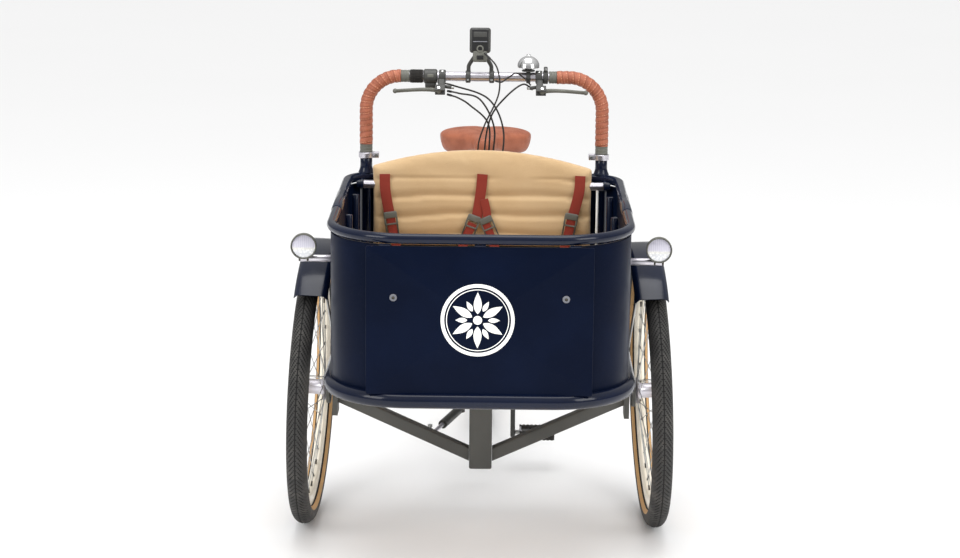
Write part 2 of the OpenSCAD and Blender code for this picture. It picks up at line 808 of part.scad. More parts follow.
// Head tube, long main tube, crank shell and seat tube
module main_frame() {
    seat_foot = [0, crank_y, crank_z];
    seat_head = [0, crank_y + (seat_tube_top - crank_z) * tan(seat_lean), seat_tube_top];
    color("#16203a") difference() {
        union() {
            translate([0, king_y, head_low]) cylinder(h = head_high - head_low, r = head_r);
            rod([0, king_y, 228], [0, crank_y, crank_z + 12], 21);
            rod([0, king_y + 190, 244], [0, crank_y + 88, 480], 15);
            rod(seat_foot, seat_head, 17);
            translate([0, crank_y, crank_z]) on_axle() cylinder(h = 70, r = 24, center = true);
            block([-35, king_y + 232, 216], [62, 24, 8]);
            block([-10, king_y + 232, 232], [12, 24, 36]);
        }
        translate([0, king_y, head_low - 20]) cylinder(h = 300, r = kingpin_d / 2 + fit);
        translate([0, crank_y, crank_z]) on_axle() cylinder(h = 200, r = 10 + fit, center = true);
        rod([0, crank_y + 70 * tan(seat_lean), crank_z + 70], seat_head + [0, 20 * tan(seat_lean), 20], 13.6 + fit);
        translate([-56, king_y + 232, 200]) cylinder(h = 40, r = 4 + fit);
    }
}
module chain_stays() {
    color("#16203a") for (s = [-1, 1]) difference() {
        union() {
            rod([s * 24, crank_y + 26, crank_z], [s * 70, rear_y - 14, rear_z - 4], 9);
            block([s * 70, rear_y, rear_z], [6, 40, 44]);
        }
        translate([0, rear_y, rear_z]) on_axle() cylinder(h = 400, r = 6.2, center = true);
    }
}
module seat_stays() {
    top_z = 600;
    top_y = crank_y + (top_z - crank_z) * tan(seat_lean) + 30;
    color("#16203a") {
        for (s = [-1, 1]) {
            rod([s * 27, top_y, top_z + 4], [s * 60, rear_y - 130, 560], 8);
            translate([s * 60, rear_y - 130, 560]) sphere(r = 9);
            rod([s * 60, rear_y - 130, 560], [s * 73, rear_y, rear_z + 26], 7);
        }
        block([0, top_y, top_z + 4], [70, 14, 12]);
    }
}

// Luggage rack over the rear wheel
module rear_rack() {
    color("#222326") {
        for (s = [-1, 1]) {
            rod([s * 66, rear_y - 190, 712], [s * 66, rear_y + 200, 712], 6);
            rod([s * 76, rear_y + 12, rear_z + 22], [s * 68, rear_y + 60, 712], 5);
        }
        for (dy = [-190, 200]) rod([-66, rear_y + dy, 712], [66, rear_y + dy, 712], 6);
    }
}
module battery() {
    color("#2c2c30") block([0, rear_y + 10, 748], [120, 360, 56]);
    color("#1c1c1e") block([0, rear_y - 176, 748], [90, 8, 40]);
}
module rear_lamp() {
    color("#8e1a1a") translate([0, rear_y + 214, 736]) rotate([90, 0, 0]) cylinder(h = 12, r = 22, center = true);
    color("#222326") block([0, rear_y + 208, 712], [30, 4, 20]);
}

// Outline of the chain run: a belt round the chainring and the sprocket
module belt(extra, h, x) {
    dy = rear_y - crank_y;
    dz = rear_z - crank_z;
    translate([x, crank_y, crank_z]) rotate([atan2(dz, dy), 0, 0]) rotate([90, 0, 90])
        linear_extrude(h, center = true) hull() {
            circle(r = ring_teeth_r + extra, $fn = 72);
            translate([norm([dy, dz]), 0]) circle(r = sprocket_r + extra, $fn = 72);
        }
}
module chain() {
    color("#6a6a66") difference() {
        belt(7, 6, chain_x);
        belt(1, 10, chain_x);
    }
}
module chain_case() {
    color("#131c34") difference() {
        belt(14, 18, chain_x + 4);
        belt(11, 14, chain_x + 3.5);
        translate([chain_x, crank_y, crank_z]) on_axle() cylinder(h = 60, r = 30, center = true);
        translate([chain_x - 20, rear_y, rear_z]) on_axle() cylinder(h = 90, r = 30, center = true);
        rod([24, crank_y + 26, crank_z], [70, rear_y - 14, rear_z - 4], 10);
        block([70, rear_y, rear_z], [8, 46, 48]);
    }
}

module crankset() {
    color("silver") {
        translate([0, crank_y, crank_z]) on_axle() cylinder(h = 2 * arm_x, r = 10, center = true);
        crank_arm(1);
        crank_arm(-1);
    }
    color("#55565a") translate([chain_x, crank_y, crank_z]) on_axle() difference() {
        cylinder(h = 4, r = ring_teeth_r, center = true);
        for (i = [0 : 4]) rotate([0, 0, 72 * i]) translate([48, 0, 0]) cylinder(h = 6, r = 16, center = true);
        cylinder(h = 6, r = 9, center = true);
    }
}
// The right arm hangs down and the left arm stands up
module crank_arm(side) {
    difference() {
        union() {
            translate([side * arm_x, crank_y, crank_z]) on_axle() cylinder(h = 14, r = 17, center = true);
            translate([side * arm_x, crank_y, crank_z - side * crank_len]) on_axle()
                cylinder(h = 12, r = 13, center = true);
            block([side * arm_x, crank_y, crank_z - side * crank_len / 2], [11, 22, crank_len]);
        }
        translate([side * arm_x, crank_y, crank_z - side * crank_len]) on_axle()
            cylinder(h = 40, r = 6 + fit, center = true);
    }
}
module pedal(side) {
    px = side * (arm_x + 62);
    pz = crank_z - side * crank_len;
    color("silver") translate([side * (arm_x + 52), crank_y, pz]) on_axle() cylinder(h = 116, r = 6, center = true);
    color("#2c2c2e") for (dy = [-1, 1]) block([px, crank_y + dy * 32, pz], [92, 14, 24]);
    color("#c0c0bc") for (dx = [-1, 1]) difference() {
        block([px + dx * 42, crank_y, pz], [6, 50, 20]);
        translate([px, crank_y, pz]) on_axle() cylinder(h = 200, r = 5.9, center = true);
    }
}
module left_pedal() { pedal(-1); }
module right_pedal() { pedal(1); }

// Saddle, its rails and the seat post
module saddle_unit() {
    foot = [0, crank_y + (post_foot_z - crank_z) * tan(seat_lean), post_foot_z];
    head = [0, crank_y + (saddle_z - 60 - crank_z) * tan(seat_lean), saddle_z - 60];
    color("silver") {
        rod(foot, head, 13.6);
        for (s = [-1, 1]) rod([s * 22, saddle_y - 110, saddle_z - 50], [s * 22, saddle_y + 80, saddle_z - 50], 4);
        block([0, head[1], saddle_z - 52], [60, 36, 22]);
    }
    color("#b5622e") intersection() {
        hull() {
            translate([0, saddle_y + 60, saddle_z - 30]) scale(1) cylinder(h = 24, r = 56, $fn = 32);
            for (s = [-1, 1]) translate([s * (saddle_w / 2 - 50), saddle_y + 50, saddle_z - 44])
                cylinder(h = 36, r = 50, $fn = 32);
            translate([0, saddle_y - 120, saddle_z - 42]) cylinder(h = 34, r = 24, $fn = 32);
            translate([0, saddle_y + 40, saddle_z - 10]) cylinder(h = 10, r = 60, $fn = 32);
        }
        block([0, saddle_y, saddle_z - 22], [400, 500, 48]);
    }
}

// Steering damper: a cylinder on the frame and a rod whose eye lies under the stud on the strut
module damper_cylinder() {
    color("#2a2a2c") {
        difference() {
            rod(damper_foot + 12 * damper_dir, damper_foot + 150 * damper_dir, 11);
            rod(damper_foot + 20 * damper_dir, damper_foot + 160 * damper_dir, 5 + fit);
        }
        difference() {
            translate(damper_foot - [0, 0, 6]) cylinder(h = 12, r = 14);
            translate(damper_foot - [0, 0, 30]) cylinder(h = 60, r = 4 + fit);
        }
    }
    color("silver") translate(damper_foot - [0, 0, 8]) cylinder(h = 34, r = 4);
}
module damper_rod() {
    color("silver") rod(damper_foot + 80 * damper_dir, damper_eye - 8 * damper_dir, 5);
    color("#222222") translate(damper_eye - [0, 0, 7]) cylinder(h = 14, r = 9);
}

main_frame();
chain_stays();
seat_stays();
rear_axle();
rear_mudguard();
rear_rack();
battery();
chain_case();
chain();
rear_lamp();
damper_cylinder();
damper_rod();
steering_head();
kingpin();
axle_struts();
left_stub_axle();
right_stub_axle();
floor_beams();
bottom_ring();
top_rim();
floor_panel();
front_panel();
left_side_panel();
right_side_panel();
rear_panel();
panel_fixings();
box_uprights();
bench_board();
bench_cushion();
backrest_pad();
backrest_bar();
harness_straps();
harness_buckles();
handlebar();
post_clamps();
bar_wraps();
bar_sleeves();
lever_clamps();
left_brake_lever();
right_brake_lever();
twist_grip();
display_unit();
display_button();
bell();
bell_lever();
control_cables();
lamp_arms();
front_lamps();
left_mudguard();
right_mudguard();
left_wheel();
left_tyre();
right_wheel();
right_tyre();
rear_wheel();
rear_tyre();
crankset();
left_pedal();
right_pedal();
saddle_unit();
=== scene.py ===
"""Front-box cargo tricycle, dressed over its packed design.

Metres, in the design's own frame: Z up, the box towards -Y, the rear wheel towards +Y.
"""

import json
import logging
import math
from collections.abc import Callable
from dataclasses import dataclass, field
from enum import Enum

import bmesh
import bpy
import numpy as np
from mathutils import Matrix, Vector

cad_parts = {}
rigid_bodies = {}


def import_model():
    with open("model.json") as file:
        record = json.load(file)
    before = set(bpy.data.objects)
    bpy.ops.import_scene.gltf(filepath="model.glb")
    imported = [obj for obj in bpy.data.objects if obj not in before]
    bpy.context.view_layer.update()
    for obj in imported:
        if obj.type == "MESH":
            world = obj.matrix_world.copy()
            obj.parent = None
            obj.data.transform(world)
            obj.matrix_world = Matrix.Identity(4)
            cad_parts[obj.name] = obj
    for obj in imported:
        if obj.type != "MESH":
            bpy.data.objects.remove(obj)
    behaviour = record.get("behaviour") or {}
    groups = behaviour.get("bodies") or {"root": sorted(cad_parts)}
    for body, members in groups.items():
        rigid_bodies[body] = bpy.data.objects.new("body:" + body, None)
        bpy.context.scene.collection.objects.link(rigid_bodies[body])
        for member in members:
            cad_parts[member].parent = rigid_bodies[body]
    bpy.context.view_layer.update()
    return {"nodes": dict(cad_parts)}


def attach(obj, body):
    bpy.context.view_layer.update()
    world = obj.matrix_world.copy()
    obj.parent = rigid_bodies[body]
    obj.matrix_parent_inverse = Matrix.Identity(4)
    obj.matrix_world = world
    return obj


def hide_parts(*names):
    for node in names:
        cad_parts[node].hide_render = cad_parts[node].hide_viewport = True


for _start_object in list(bpy.data.objects):
    bpy.data.objects.remove(_start_object)
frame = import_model()

logging.basicConfig(level=logging.INFO, format="%(message)s")
LOG = logging.getLogger("tricycle")

Grid = np.ndarray
Thing = bpy.types.Object
X_AXIS, Y_AXIS, Z_AXIS = np.eye(3)
FULL_TURN = 2 * np.pi

# Shared places on the machine
HUB_Y, HUB_Z, HUB_X = -0.305, 0.325816, 0.402
FRONT_Y, BACK_Y = -0.965, -0.166
RIM_Z, RING_Z, BAR_Z = 0.812, 0.463, 1.053
LEG_X = 0.281
KING_Y = -0.245
CRANK = np.array([0.0, 0.145, 0.265])
REAR = np.array([0.0, 0.625, 0.326])
PAD_Y = -0.202
SADDLE_Y = 0.385
BAR_R = 0.0111
LEVER_X = (-0.1, 0.129)
DISPLAY_TILT = -12
SEAT_TUBE_LEAN = 22
FRONT_TOE, FRONT_LEAN = 2.4, 2.0
SIDES = (-1, 1)


# Shapes as point grids


def unit(v: Grid) -> Grid:
    """Returns the vectors of v, each divided by its own length."""
    return v / np.maximum(np.linalg.norm(v, axis=-1, keepdims=True), 1e-12)


def turned(axis: Grid, degrees: float) -> Grid:
    """Returns the 3 by 3 matrix of a turn in degrees about an axis."""
    return np.array(Matrix.Rotation(math.radians(degrees), 3, Vector(axis)))


def placed(grid: Grid, at: Grid, turn: Grid = np.eye(3)) -> Grid:
    """Turns a grid about the origin, then moves it.

    Args:
        grid: points, with x, y and z last.
        at: the place that the origin goes to.
        turn: a 3 by 3 matrix.

    Returns:
        The moved points.
    """
    return grid @ np.asarray(turn).T + np.asarray(at)


def circle(radius: float, sides: int) -> Grid:
    """Returns points round a circle: radius times (cosine, sine) of equal steps of a full turn."""
    a = np.linspace(0, FULL_TURN, sides, endpoint=False)
    return radius * np.stack([np.cos(a), np.sin(a)], -1)


def rounded_rect(width: float, height: float, radius: float, steps: int = 4) -> Grid:
    """A rectangle with round corners: a small circle whose quarters are pulled apart.

    Args:
        width: full size along the first axis.
        height: full size along the second axis.
        radius: radius of the corners.
        steps: parts in each corner.

    Returns:
        The outline's points, anticlockwise.
    """
    quarter = np.linspace(0, np.pi / 2, steps + 1)
    a = np.concatenate([quarter + k * np.pi / 2 for k in range(4)])
    sx = np.repeat([1, -1, -1, 1], steps + 1) * (width / 2 - radius)
    sy = np.repeat([1, 1, -1, -1], steps + 1) * (height / 2 - radius)
    return np.stack([sx + radius * np.cos(a), sy + radius * np.sin(a)], -1)


def capped(grid: Grid) -> Grid:
    """Returns the grid with both ends closed, by rows gathered at the ends' middles."""
    first = np.broadcast_to(grid[0].mean(0), grid[:1].shape)
    last = np.broadcast_to(grid[-1].mean(0), grid[:1].shape)
    return np.concatenate([first, grid, last])


def rounded_block(size: tuple[float, float, float], radius: float, steps: int = 3) -> Grid:
    """A box with round edges: a small sphere whose eight parts are pulled apart.

    Args:
        size: full sizes along x, y and z.
        radius: radius of the edges.
        steps: parts in each quarter turn.

    Returns:
        A closed grid round the z axis.
    """
    half = np.array(size) / 2 - radius
    quarter = np.linspace(0, np.pi / 2, steps + 1)
    lat = np.concatenate([-quarter[::-1], quarter])[:, None]
    low = np.repeat([-1, 1], steps + 1)[:, None]
    lon = np.concatenate([quarter + k * np.pi / 2 for k in range(4)])[None]
    sx = np.repeat([1, -1, -1, 1], steps + 1)[None]
    sy = np.repeat([1, 1, -1, -1], steps + 1)[None]
    x = radius * np.cos(lat) * np.cos(lon) + sx * half[0]
    y = radius * np.cos(lat) * np.sin(lon) + sy * half[1]
    z = radius * np.sin(lat) + low * half[2] + 0 * lon
    return capped(np.stack([x, y, z], -1))


def slab(outline: Grid, thickness: float, bevel: float) -> Grid:
    """A flat plate: an outline in x and z carried through its thickness along y, edges bevelled.

    Args:
        outline: points of a convex or star-shaped outline, anticlockwise.
        thickness: full thickness.
        bevel: how far the edges are rounded.

    Returns:
        A closed grid.
    """
    along = unit(np.roll(outline, -1, 0) - np.roll(outline, 1, 0))
    inward = np.stack([-along[:, 1], along[:, 0]], -1)
    inset = bevel * np.array([1, 0.3, 0, 0, 0.3, 1])
    depth = thickness / 2 - bevel * np.array([0, 0.3, 1, 1, 0.3, 0])
    depth *= np.array([-1, -1, -1, 1, 1, 1])
    flat = outline[None] + inset[:, None, None] * inward[None]
    y = np.broadcast_to(depth[:, None], flat.shape[:2])
    return capped(np.stack([flat[..., 0], y, flat[..., 1]], -1))


def rounded_path(corners: Grid, radii: list[float], closed: bool = False, steps: int = 14) -> Grid:
    """A line through corners, each replaced by an arc that touches both of its sides.

    Args:
        corners: the corners in order, in space.
        radii: one radius for each corner; 0 leaves it sharp.
        closed: whether the line returns to its start.
        steps: parts in each arc.

    Returns:
        Points along the line.
    """
    corners = np.asarray(corners, float)
    out = []
    for i, (p, radius) in enumerate(zip(corners, radii)):
        if radius <= 0 or (not closed and i in (0, len(corners) - 1)):
            out.append(p[None])
            continue
        u = unit(corners[i - 1] - p)
        v = unit(corners[(i + 1) % len(corners)] - p)
        half = math.acos(float(np.clip(u @ v, -1, 1))) / 2
        reach = radius / math.tan(half)
        middle = p + unit(u + v) * radius / math.sin(half)
        a, b = p + u * reach - middle, p + v * reach - middle
        sweep_angle = np.pi - 2 * half
        t = np.linspace(0, 1, steps + 1)[:, None]
        arc = np.sin((1 - t) * sweep_angle) * a + np.sin(t * sweep_angle) * b
        out.append(middle + arc / math.sin(sweep_angle))
    return np.concatenate(out)


def smooth_path(points: Grid, steps: int = 10) -> Grid:
    """A smooth line through points, each stretch a cubic whose slopes follow the neighbours.

    Args:
        points: the points to pass through.
        steps: parts between two of them.

    Returns:
        Points along the line.
    """
    p = np.asarray(points, float)
    p = np.concatenate([2 * p[:1] - p[1:2], p, 2 * p[-1:] - p[-2:-1]])
    a, b, c, d = p[:-3, None], p[1:-2, None], p[2:-1, None], p[3:, None]
    t = np.linspace(0, 1, steps, endpoint=False)[None, :, None]
    curve = 0.5 * (2 * b + (c - a) * t + (2 * a - 5 * b + 4 * c - d) * t**2
        + (3 * b - a - 3 * c + d) * t**3)
    return np.concatenate([curve.reshape(-1, 3), p[-2:-1]])


def even_path(path: Grid, step: float) -> Grid:
    """Returns the same line as points an equal distance apart, close to step."""
    length = np.concatenate([[0], np.cumsum(np.linalg.norm(np.diff(path, axis=0), axis=1))])
    at = np.linspace(0, length[-1], max(2, round(length[-1] / step) + 1))
    return np.stack([np.interp(at, length, path[:, k]) for k in range(3)], -1)


def sweep(path: Grid, section: Grid, upright: Grid, closed: bool = False) -> Grid:
    """Carries a flat section along a path: a point is path + u times side + v times lift.

    Side is the path's direction crossed with the upright; lift is side crossed with the direction.

    Args:
        path: points in space.
        section: (u, v) points, or one such set for each point of the path.
        upright: a direction that the path never follows.
        closed: whether the path returns to its start.

    Returns:
        A grid with one row for each point of the path.
    """
    back, ahead = np.roll(path, 1, 0), np.roll(path, -1, 0)
    if not closed:
        back[0], ahead[-1] = path[0], path[-1]
    along = unit(ahead - back)
    side = unit(np.cross(along, upright))
    lift = np.cross(side, along)
    section = np.broadcast_to(section, (len(path),) + np.shape(section)[-2:])
    return path[:, None] + side[:, None] * section[..., :1] + lift[:, None] * section[..., 1:]


def tube(path: Grid, radius: float, upright: Grid, closed: bool = False, sides: int = 20) -> Grid:
    """Returns a round tube along a path, with its two ends closed where it has ends."""
    grid = sweep(path, circle(radius, sides), upright, closed)
    return grid if closed else capped(grid)


def lathe(profile: Grid, at: Grid, axis: Grid, sides: int = 48) -> Grid:
    """Turns a profile about an axis: a point is at + distance * axis + radius * turning direction.

    Args:
        profile: (distance along the axis, radius) points.
        at: a point on the axis.
        axis: the axis' direction.
        sides: parts round the axis.

    Returns:
        A grid with one row for each point of the profile.
    """
    profile, axis = np.asarray(profile, float), unit(np.asarray(axis, float))
    helper = X_AXIS if abs(axis[0]) < 0.8 else Z_AXIS
    side = unit(np.cross(axis, helper))
    lift = np.cross(axis, side)
    c = circle(1, sides)
    around = c[:, :1] * side + c[:, 1:] * lift
    return np.asarray(at) + profile[:, :1, None] * axis + profile[:, 1:, None] * around[None]


def rod(a: Grid, b: Grid, radius: float, bevel: float = 0.0008, sides: int = 20) -> Grid:
    """Returns a round bar from a to b with both ends bevelled and closed."""
    a, b = np.asarray(a, float), np.asarray(b, float)
    length = float(np.linalg.norm(b - a))
    inset = radius - bevel
    profile = [(0, 0), (0, inset), (bevel * 0.3, radius - bevel * 0.3), (bevel, radius),
        (length - bevel, radius), (length - bevel * 0.3, radius - bevel * 0.3), (length, inset),
        (length, 0)]
    return lathe(profile, a, b - a, sides)


def ring(outer: float, inner: float, low: float, high: float, bevel: float = 0.0006) -> Grid:
    """Returns the closed (distance, radius) profile of a sleeve with bevelled outer edges."""
    return np.array([(low, inner), (low, outer - bevel), (low + bevel, outer),
        (high - bevel, outer), (high, outer - bevel), (high, inner), (low, inner)])


def both_halves(profile: list) -> Grid:
    """Returns a profile followed by its mirror image, its first values negated, back to front."""
    half = np.array(profile, float)
    return np.concatenate([half, half[::-1] * (-1, 1)])


def ball(at: Grid, radius: float, stretch: float = 1.0, sides: int = 24) -> Grid:
    """Returns a sphere, or an egg stretched along z, as a half circle turned about z."""
    a = np.linspace(-np.pi / 2, np.pi / 2, 13)
    return lathe(np.stack([radius * stretch * np.sin(a), radius * np.cos(a)], -1), at, Z_AXIS,
        sides)


def box_outline(half: float, y0: float, y1: float, front: float, rear: float, z: float) -> Grid:
    """Returns the closed outline of the cargo box at one height, with its four rounded corners."""
    corners = [(-half, y0, z), (half, y0, z), (half, y1, z), (-half, y1, z)]
    return rounded_path(np.array(corners), [front, front, rear, rear], closed=True, steps=20)


# Shader maths


class Val:
    """A shader socket that can be used in Python sums."""

    def __init__(self, shade: "Shade", socket: bpy.types.NodeSocket) -> None:
        """Keeps the socket and the material it belongs to."""
        self.shade, self.socket = shade, socket

    def maths(self, operation: str, *values: "Val | float") -> "Val":
        """Returns a Math node of the given operation on the given values."""
        return self.shade.node("ShaderNodeMath", {"operation": operation}, dict(enumerate(values)))

    def __add__(self, other: "Val | float") -> "Val":
        """Returns self + other."""
        return self.maths("ADD", self, other)

    def __sub__(self, other: "Val | float") -> "Val":
        """Returns self - other."""
        return self.maths("SUBTRACT", self, other)

    def __rsub__(self, other: float) -> "Val":
        """Returns other - self."""
        return self.maths("SUBTRACT", other, self)

    def __mul__(self, other: "Val | float") -> "Val":
        """Returns self * other."""
        return self.maths("MULTIPLY", self, other)

    def __truediv__(self, other: "Val | float") -> "Val":
        """Returns self / other."""
        return self.maths("DIVIDE", self, other)

    __radd__, __rmul__ = __add__, __mul__

    def sine(self) -> "Val":
        """Returns the sine of self in radians."""
        return self.maths("SINE", self)

    def part(self) -> "Val":
        """Returns the part of self after the decimal point."""
        return self.maths("FRACT", self)

    def size(self) -> "Val":
        """Returns self without its sign."""
        return self.maths("ABSOLUTE", self)

    def ramp(self, low: float, high: float) -> "Val":
        """Returns 0 below low and 1 above high, smooth between them."""
        settings = {"interpolation_type": "SMOOTHSTEP"}
        return self.shade.node("ShaderNodeMapRange", settings, {0: self, 1: low, 2: high})


class Shade:
    """One material with a Principled surface."""

    def __init__(self, name: str) -> None:
        """Makes the empty material."""
        self.material = bpy.data.materials.new(name)
        self.material.use_nodes = True
        self.tree = self.material.node_tree
        self.tree.nodes.clear()
        self.surface = self.tree.nodes.new("ShaderNodeBsdfPrincipled")
        out = self.tree.nodes.new("ShaderNodeOutputMaterial")
        self.tree.links.new(self.surface.outputs[0], out.inputs[0])

    def node(self, kind: str, settings: dict | None = None, inputs: dict | None = None,
            output: int | str = 0) -> Val:
        """Adds a node.

        Args:
            kind: the node's type.
            settings: its own settings; "stops" gives a ramp's (place, colour) pairs.
            inputs: values or links by socket name or number.
            output: which output to return.

        Returns:
            The wanted output.
        """
        made = self.tree.nodes.new(kind)
        for key, value in (settings or {}).items():
            if key == "stops":
                self._stops(made, value)
            else:
                setattr(made, key, value)
        for key, value in (inputs or {}).items():
            self.feed(made.inputs[key], value)
        return Val(self, made.outputs[output])

    def _stops(self, made: bpy.types.Node, stops: list) -> None:
        """Sets a colour ramp's stops."""
        elements = made.color_ramp.elements
        while len(elements) < len(stops):
            elements.new(0.5)
        for element, (place, colour) in zip(elements, stops):
            element.position, element.color = place, colour

    def feed(self, socket: bpy.types.NodeSocket, value: "Val | float | tuple") -> None:
        """Links a value to a socket, or sets the socket to a constant."""
        if isinstance(value, Val):
            self.tree.links.new(value.socket, socket)
        else:
            socket.default_value = value

    def set(self, **values: "Val | float | tuple") -> None:
        """Feeds the surface's sockets; an underscore in a name stands for a space."""
        for key, value in values.items():
            self.feed(self.surface.inputs[key.replace("_", " ")], value)

    def coords(self, name: str = "Object") -> Val:
        """Returns the object or UV coordinates."""
        return self.node("ShaderNodeTexCoord", output=name)

    def split(self, vector: Val) -> tuple[Val, Val, Val]:
        """Returns the three parts of a vector."""
        made = self.node("ShaderNodeSeparateXYZ", inputs={0: vector}).socket.node
        return tuple(Val(self, out) for out in made.outputs)

    def noise(self, scale: float, detail: float = 3.0, stretch: tuple = (1, 1, 1),
            vector: Val | None = None) -> Val:
        """Returns soft noise from 0 to 1, the coordinates first multiplied by stretch."""
        at = self.node("ShaderNodeVectorMath", {"operation": "MULTIPLY"},
            {0: vector or self.coords(), 1: stretch})
        return self.node("ShaderNodeTexNoise",
            inputs={"Vector": at, "Scale": scale, "Detail": detail})

    def mix(self, factor: "Val | float", a: "Val | tuple", b: "Val | tuple") -> Val:
        """Returns colour a where factor is 0 and colour b where it is 1."""
        return self.node("ShaderNodeMix", {"data_type": "RGBA"}, {0: factor, 6: a, 7: b}, output=2)

    def bump(self, height: Val, distance: float, strength: float = 1.0) -> Val:
        """Returns a normal raised by height times distance."""
        return self.node("ShaderNodeBump",
            inputs={"Height": height, "Distance": distance, "Strength": strength})


def tint(code: str, gain: float = 1.0) -> tuple[float, float, float, float]:
    """Returns a six-letter colour code as linear light, times gain."""
    parts = np.array([int(code[i:i + 2], 16) / 255 for i in (0, 2, 4)])
    linear = np.where(parts <= 0.04045, parts / 12.92, ((parts + 0.055) / 1.055) ** 2.4)
    return (*(linear * gain).tolist(), 1.0)


# Finishes


@dataclass(frozen=True)
class Finish:
    """A surface finish; its name is the record's slot it takes after."""

    name: str
    slot: str

    def dress(self, shade: Shade) -> None:
        """Adds the finish's nodes."""
        raise NotImplementedError

    def material(self) -> bpy.types.Material:
        """Returns the finish's material, made the first time it is asked for."""
        found = bpy.data.materials.get("finish_" + self.name)
        if found is None:
            shade = Shade("finish_" + self.name)
            self.dress(shade)
            found = shade.material
        return found


@dataclass(frozen=True)
class Paint(Finish):
    """Sprayed paint: faint orange peel, dust in the clear coat and soft smudges."""

    colour: str = "0f1a33"
    roughness: float = 0.16
    coat: float = 0.6
    specular: float = 0.4

    def dress(self, shade: Shade) -> None:
        """Adds the paint's nodes."""
        base, light = tint(self.colour), tint(self.colour, 1.35)
        cloud = shade.noise(6, 4)
        dust = shade.noise(900, 1).ramp(0.7, 0.78)
        smudge = shade.noise(22, 5)
        worn = shade.mix(cloud.ramp(0.35, 0.7), base, light)
        shade.set(Base_Color=shade.mix(dust * 0.1, worn, (0.3, 0.32, 0.36, 1)),
            Roughness=smudge.ramp(0.35, 0.75) * 0.1 + self.roughness + dust * 0.15,
            Normal=shade.bump(shade.noise(420, 2), 0.00004, 0.5), Coat_Weight=self.coat,
            Coat_Roughness=0.06, Specular_IOR_Level=self.specular)


@dataclass(frozen=True)
class Metal(Finish):
    """Bare metal with fine drawn lines and a few dull patches."""

    colour: str = "d6d6d4"
    roughness: float = 0.18
    lines: tuple[float, float, float] = (1, 1, 1)
    metallic: float = 1.0

    def dress(self, shade: Shade) -> None:
        """Adds the metal's nodes."""
        drawn = shade.noise(520, 3, self.lines)
        patch = shade.noise(34, 4).ramp(0.4, 0.75)
        shade.set(Base_Color=shade.mix(patch * 0.35, tint(self.colour), tint(self.colour, 0.72)),
            Metallic=self.metallic, Roughness=drawn * 0.1 + patch * 0.08 + self.roughness,
            Normal=shade.bump(drawn, 0.00003, 0.5))


@dataclass(frozen=True)
class Rubber(Finish):
    """Tyre rubber, matt and a little dusty."""

    colour: str = "2c2c2b"
    dust: str = "6a6660"
    dusty: float = 0.35

    def dress(self, shade: Shade) -> None:
        """Adds the rubber's nodes."""
        film = shade.noise(26, 6).ramp(0.42, 0.78)
        speck = shade.noise(1400, 2)
        shade.set(Base_Color=shade.mix(film * self.dusty, tint(self.colour), tint(self.dust)),
            Roughness=speck * 0.18 + 0.62, Normal=shade.bump(speck, 0.00018, 0.6),
            Specular_IOR_Level=0.35)


@dataclass(frozen=True)
class Leather(Finish):
    """Tanned leather: pebbled grain, creases and darker rubbed areas."""

    colour: str = "c06a3c"
    deep: str = "8a4323"
    wrap_pitch: float = 0.0
    wrap_r: float = 0.016

    def dress(self, shade: Shade) -> None:
        """Adds the leather's nodes; a wrap has painted shade where each turn overlaps the next, and
        pale stitches on every turn.

        Args:
            shade: the material to wire.
        """
        pebble = shade.node("ShaderNodeTexVoronoi", {"feature": "DISTANCE_TO_EDGE"},
            {"Vector": shade.coords(), "Scale": 620.0})
        grain = pebble.ramp(0.02, 0.3)
        rubbed = shade.noise(38, 5).ramp(0.38, 0.72)
        colour = shade.mix(rubbed * 0.55, tint(self.colour), tint(self.deep))
        colour = shade.mix((1 - grain) * 0.35, colour, tint(self.deep))
        if self.wrap_pitch:
            u, v, _ = shade.split(shade.coords("UV"))
            turn = (v / self.wrap_pitch + u / (FULL_TURN * self.wrap_r)).part()
            # Painted shade: a dark band on both sides of the step where each turn overlaps the
            # next.
            edge = (turn - 0.5).size().ramp(0.4, 0.49)
            stitch = ((turn - 0.22).size().ramp(0.035, 0.02) * (u * 900).sine().ramp(-0.1, 0.3))
            colour = shade.mix(edge * 0.75, colour, tint("6d3119"))
            colour = shade.mix(stitch * 0.7, colour, tint("e9b48c"))
        shade.set(Base_Color=colour, Roughness=rubbed * 0.12 + 0.42,
            Normal=shade.bump(grain, 0.00025, 0.6), Specular_IOR_Level=0.4)


@dataclass(frozen=True)
class Canvas(Finish):
    """Plain weave cotton canvas with slubs and slightly sun-bleached folds."""

    warp: str = "cfb188"
    weft: str = "bb9b72"
    thread: float = 0.0011

    def dress(self, shade: Shade) -> None:
        """Adds the weave: warp is a sine of x, weft a sine of z plus y, and they are multiplied.

        Args:
            shade: the material to wire.
        """
        x, y, z = shade.split(shade.coords())
        wobble = shade.noise(60, 2) * 1.2
        step = FULL_TURN / self.thread
        warp = (x * step + wobble).sine()
        weft = ((z + y) * step + wobble).sine()
        weave = (warp * weft) * 0.5 + 0.5
        slub = shade.noise(160, 3, (0.35, 1, 3))
        bleach = shade.noise(7, 4).ramp(0.35, 0.7)
        colour = shade.mix(weave * 0.6 + slub * 0.4, tint(self.weft), tint(self.warp))
        colour = shade.mix(bleach * 0.25, colour, tint("d9c09a"))
        colour = shade.mix(shade.noise(420, 2, (0.2, 1, 2)).ramp(0.62, 0.8) * 0.25, colour,
            tint("a98455"))
        shade.set(Base_Color=colour, Roughness=0.86, Sheen_Weight=0.25, Sheen_Roughness=0.5,
            Normal=shade.bump(weave + slub * 0.6, 0.00022, 0.55), Specular_IOR_Level=0.2)


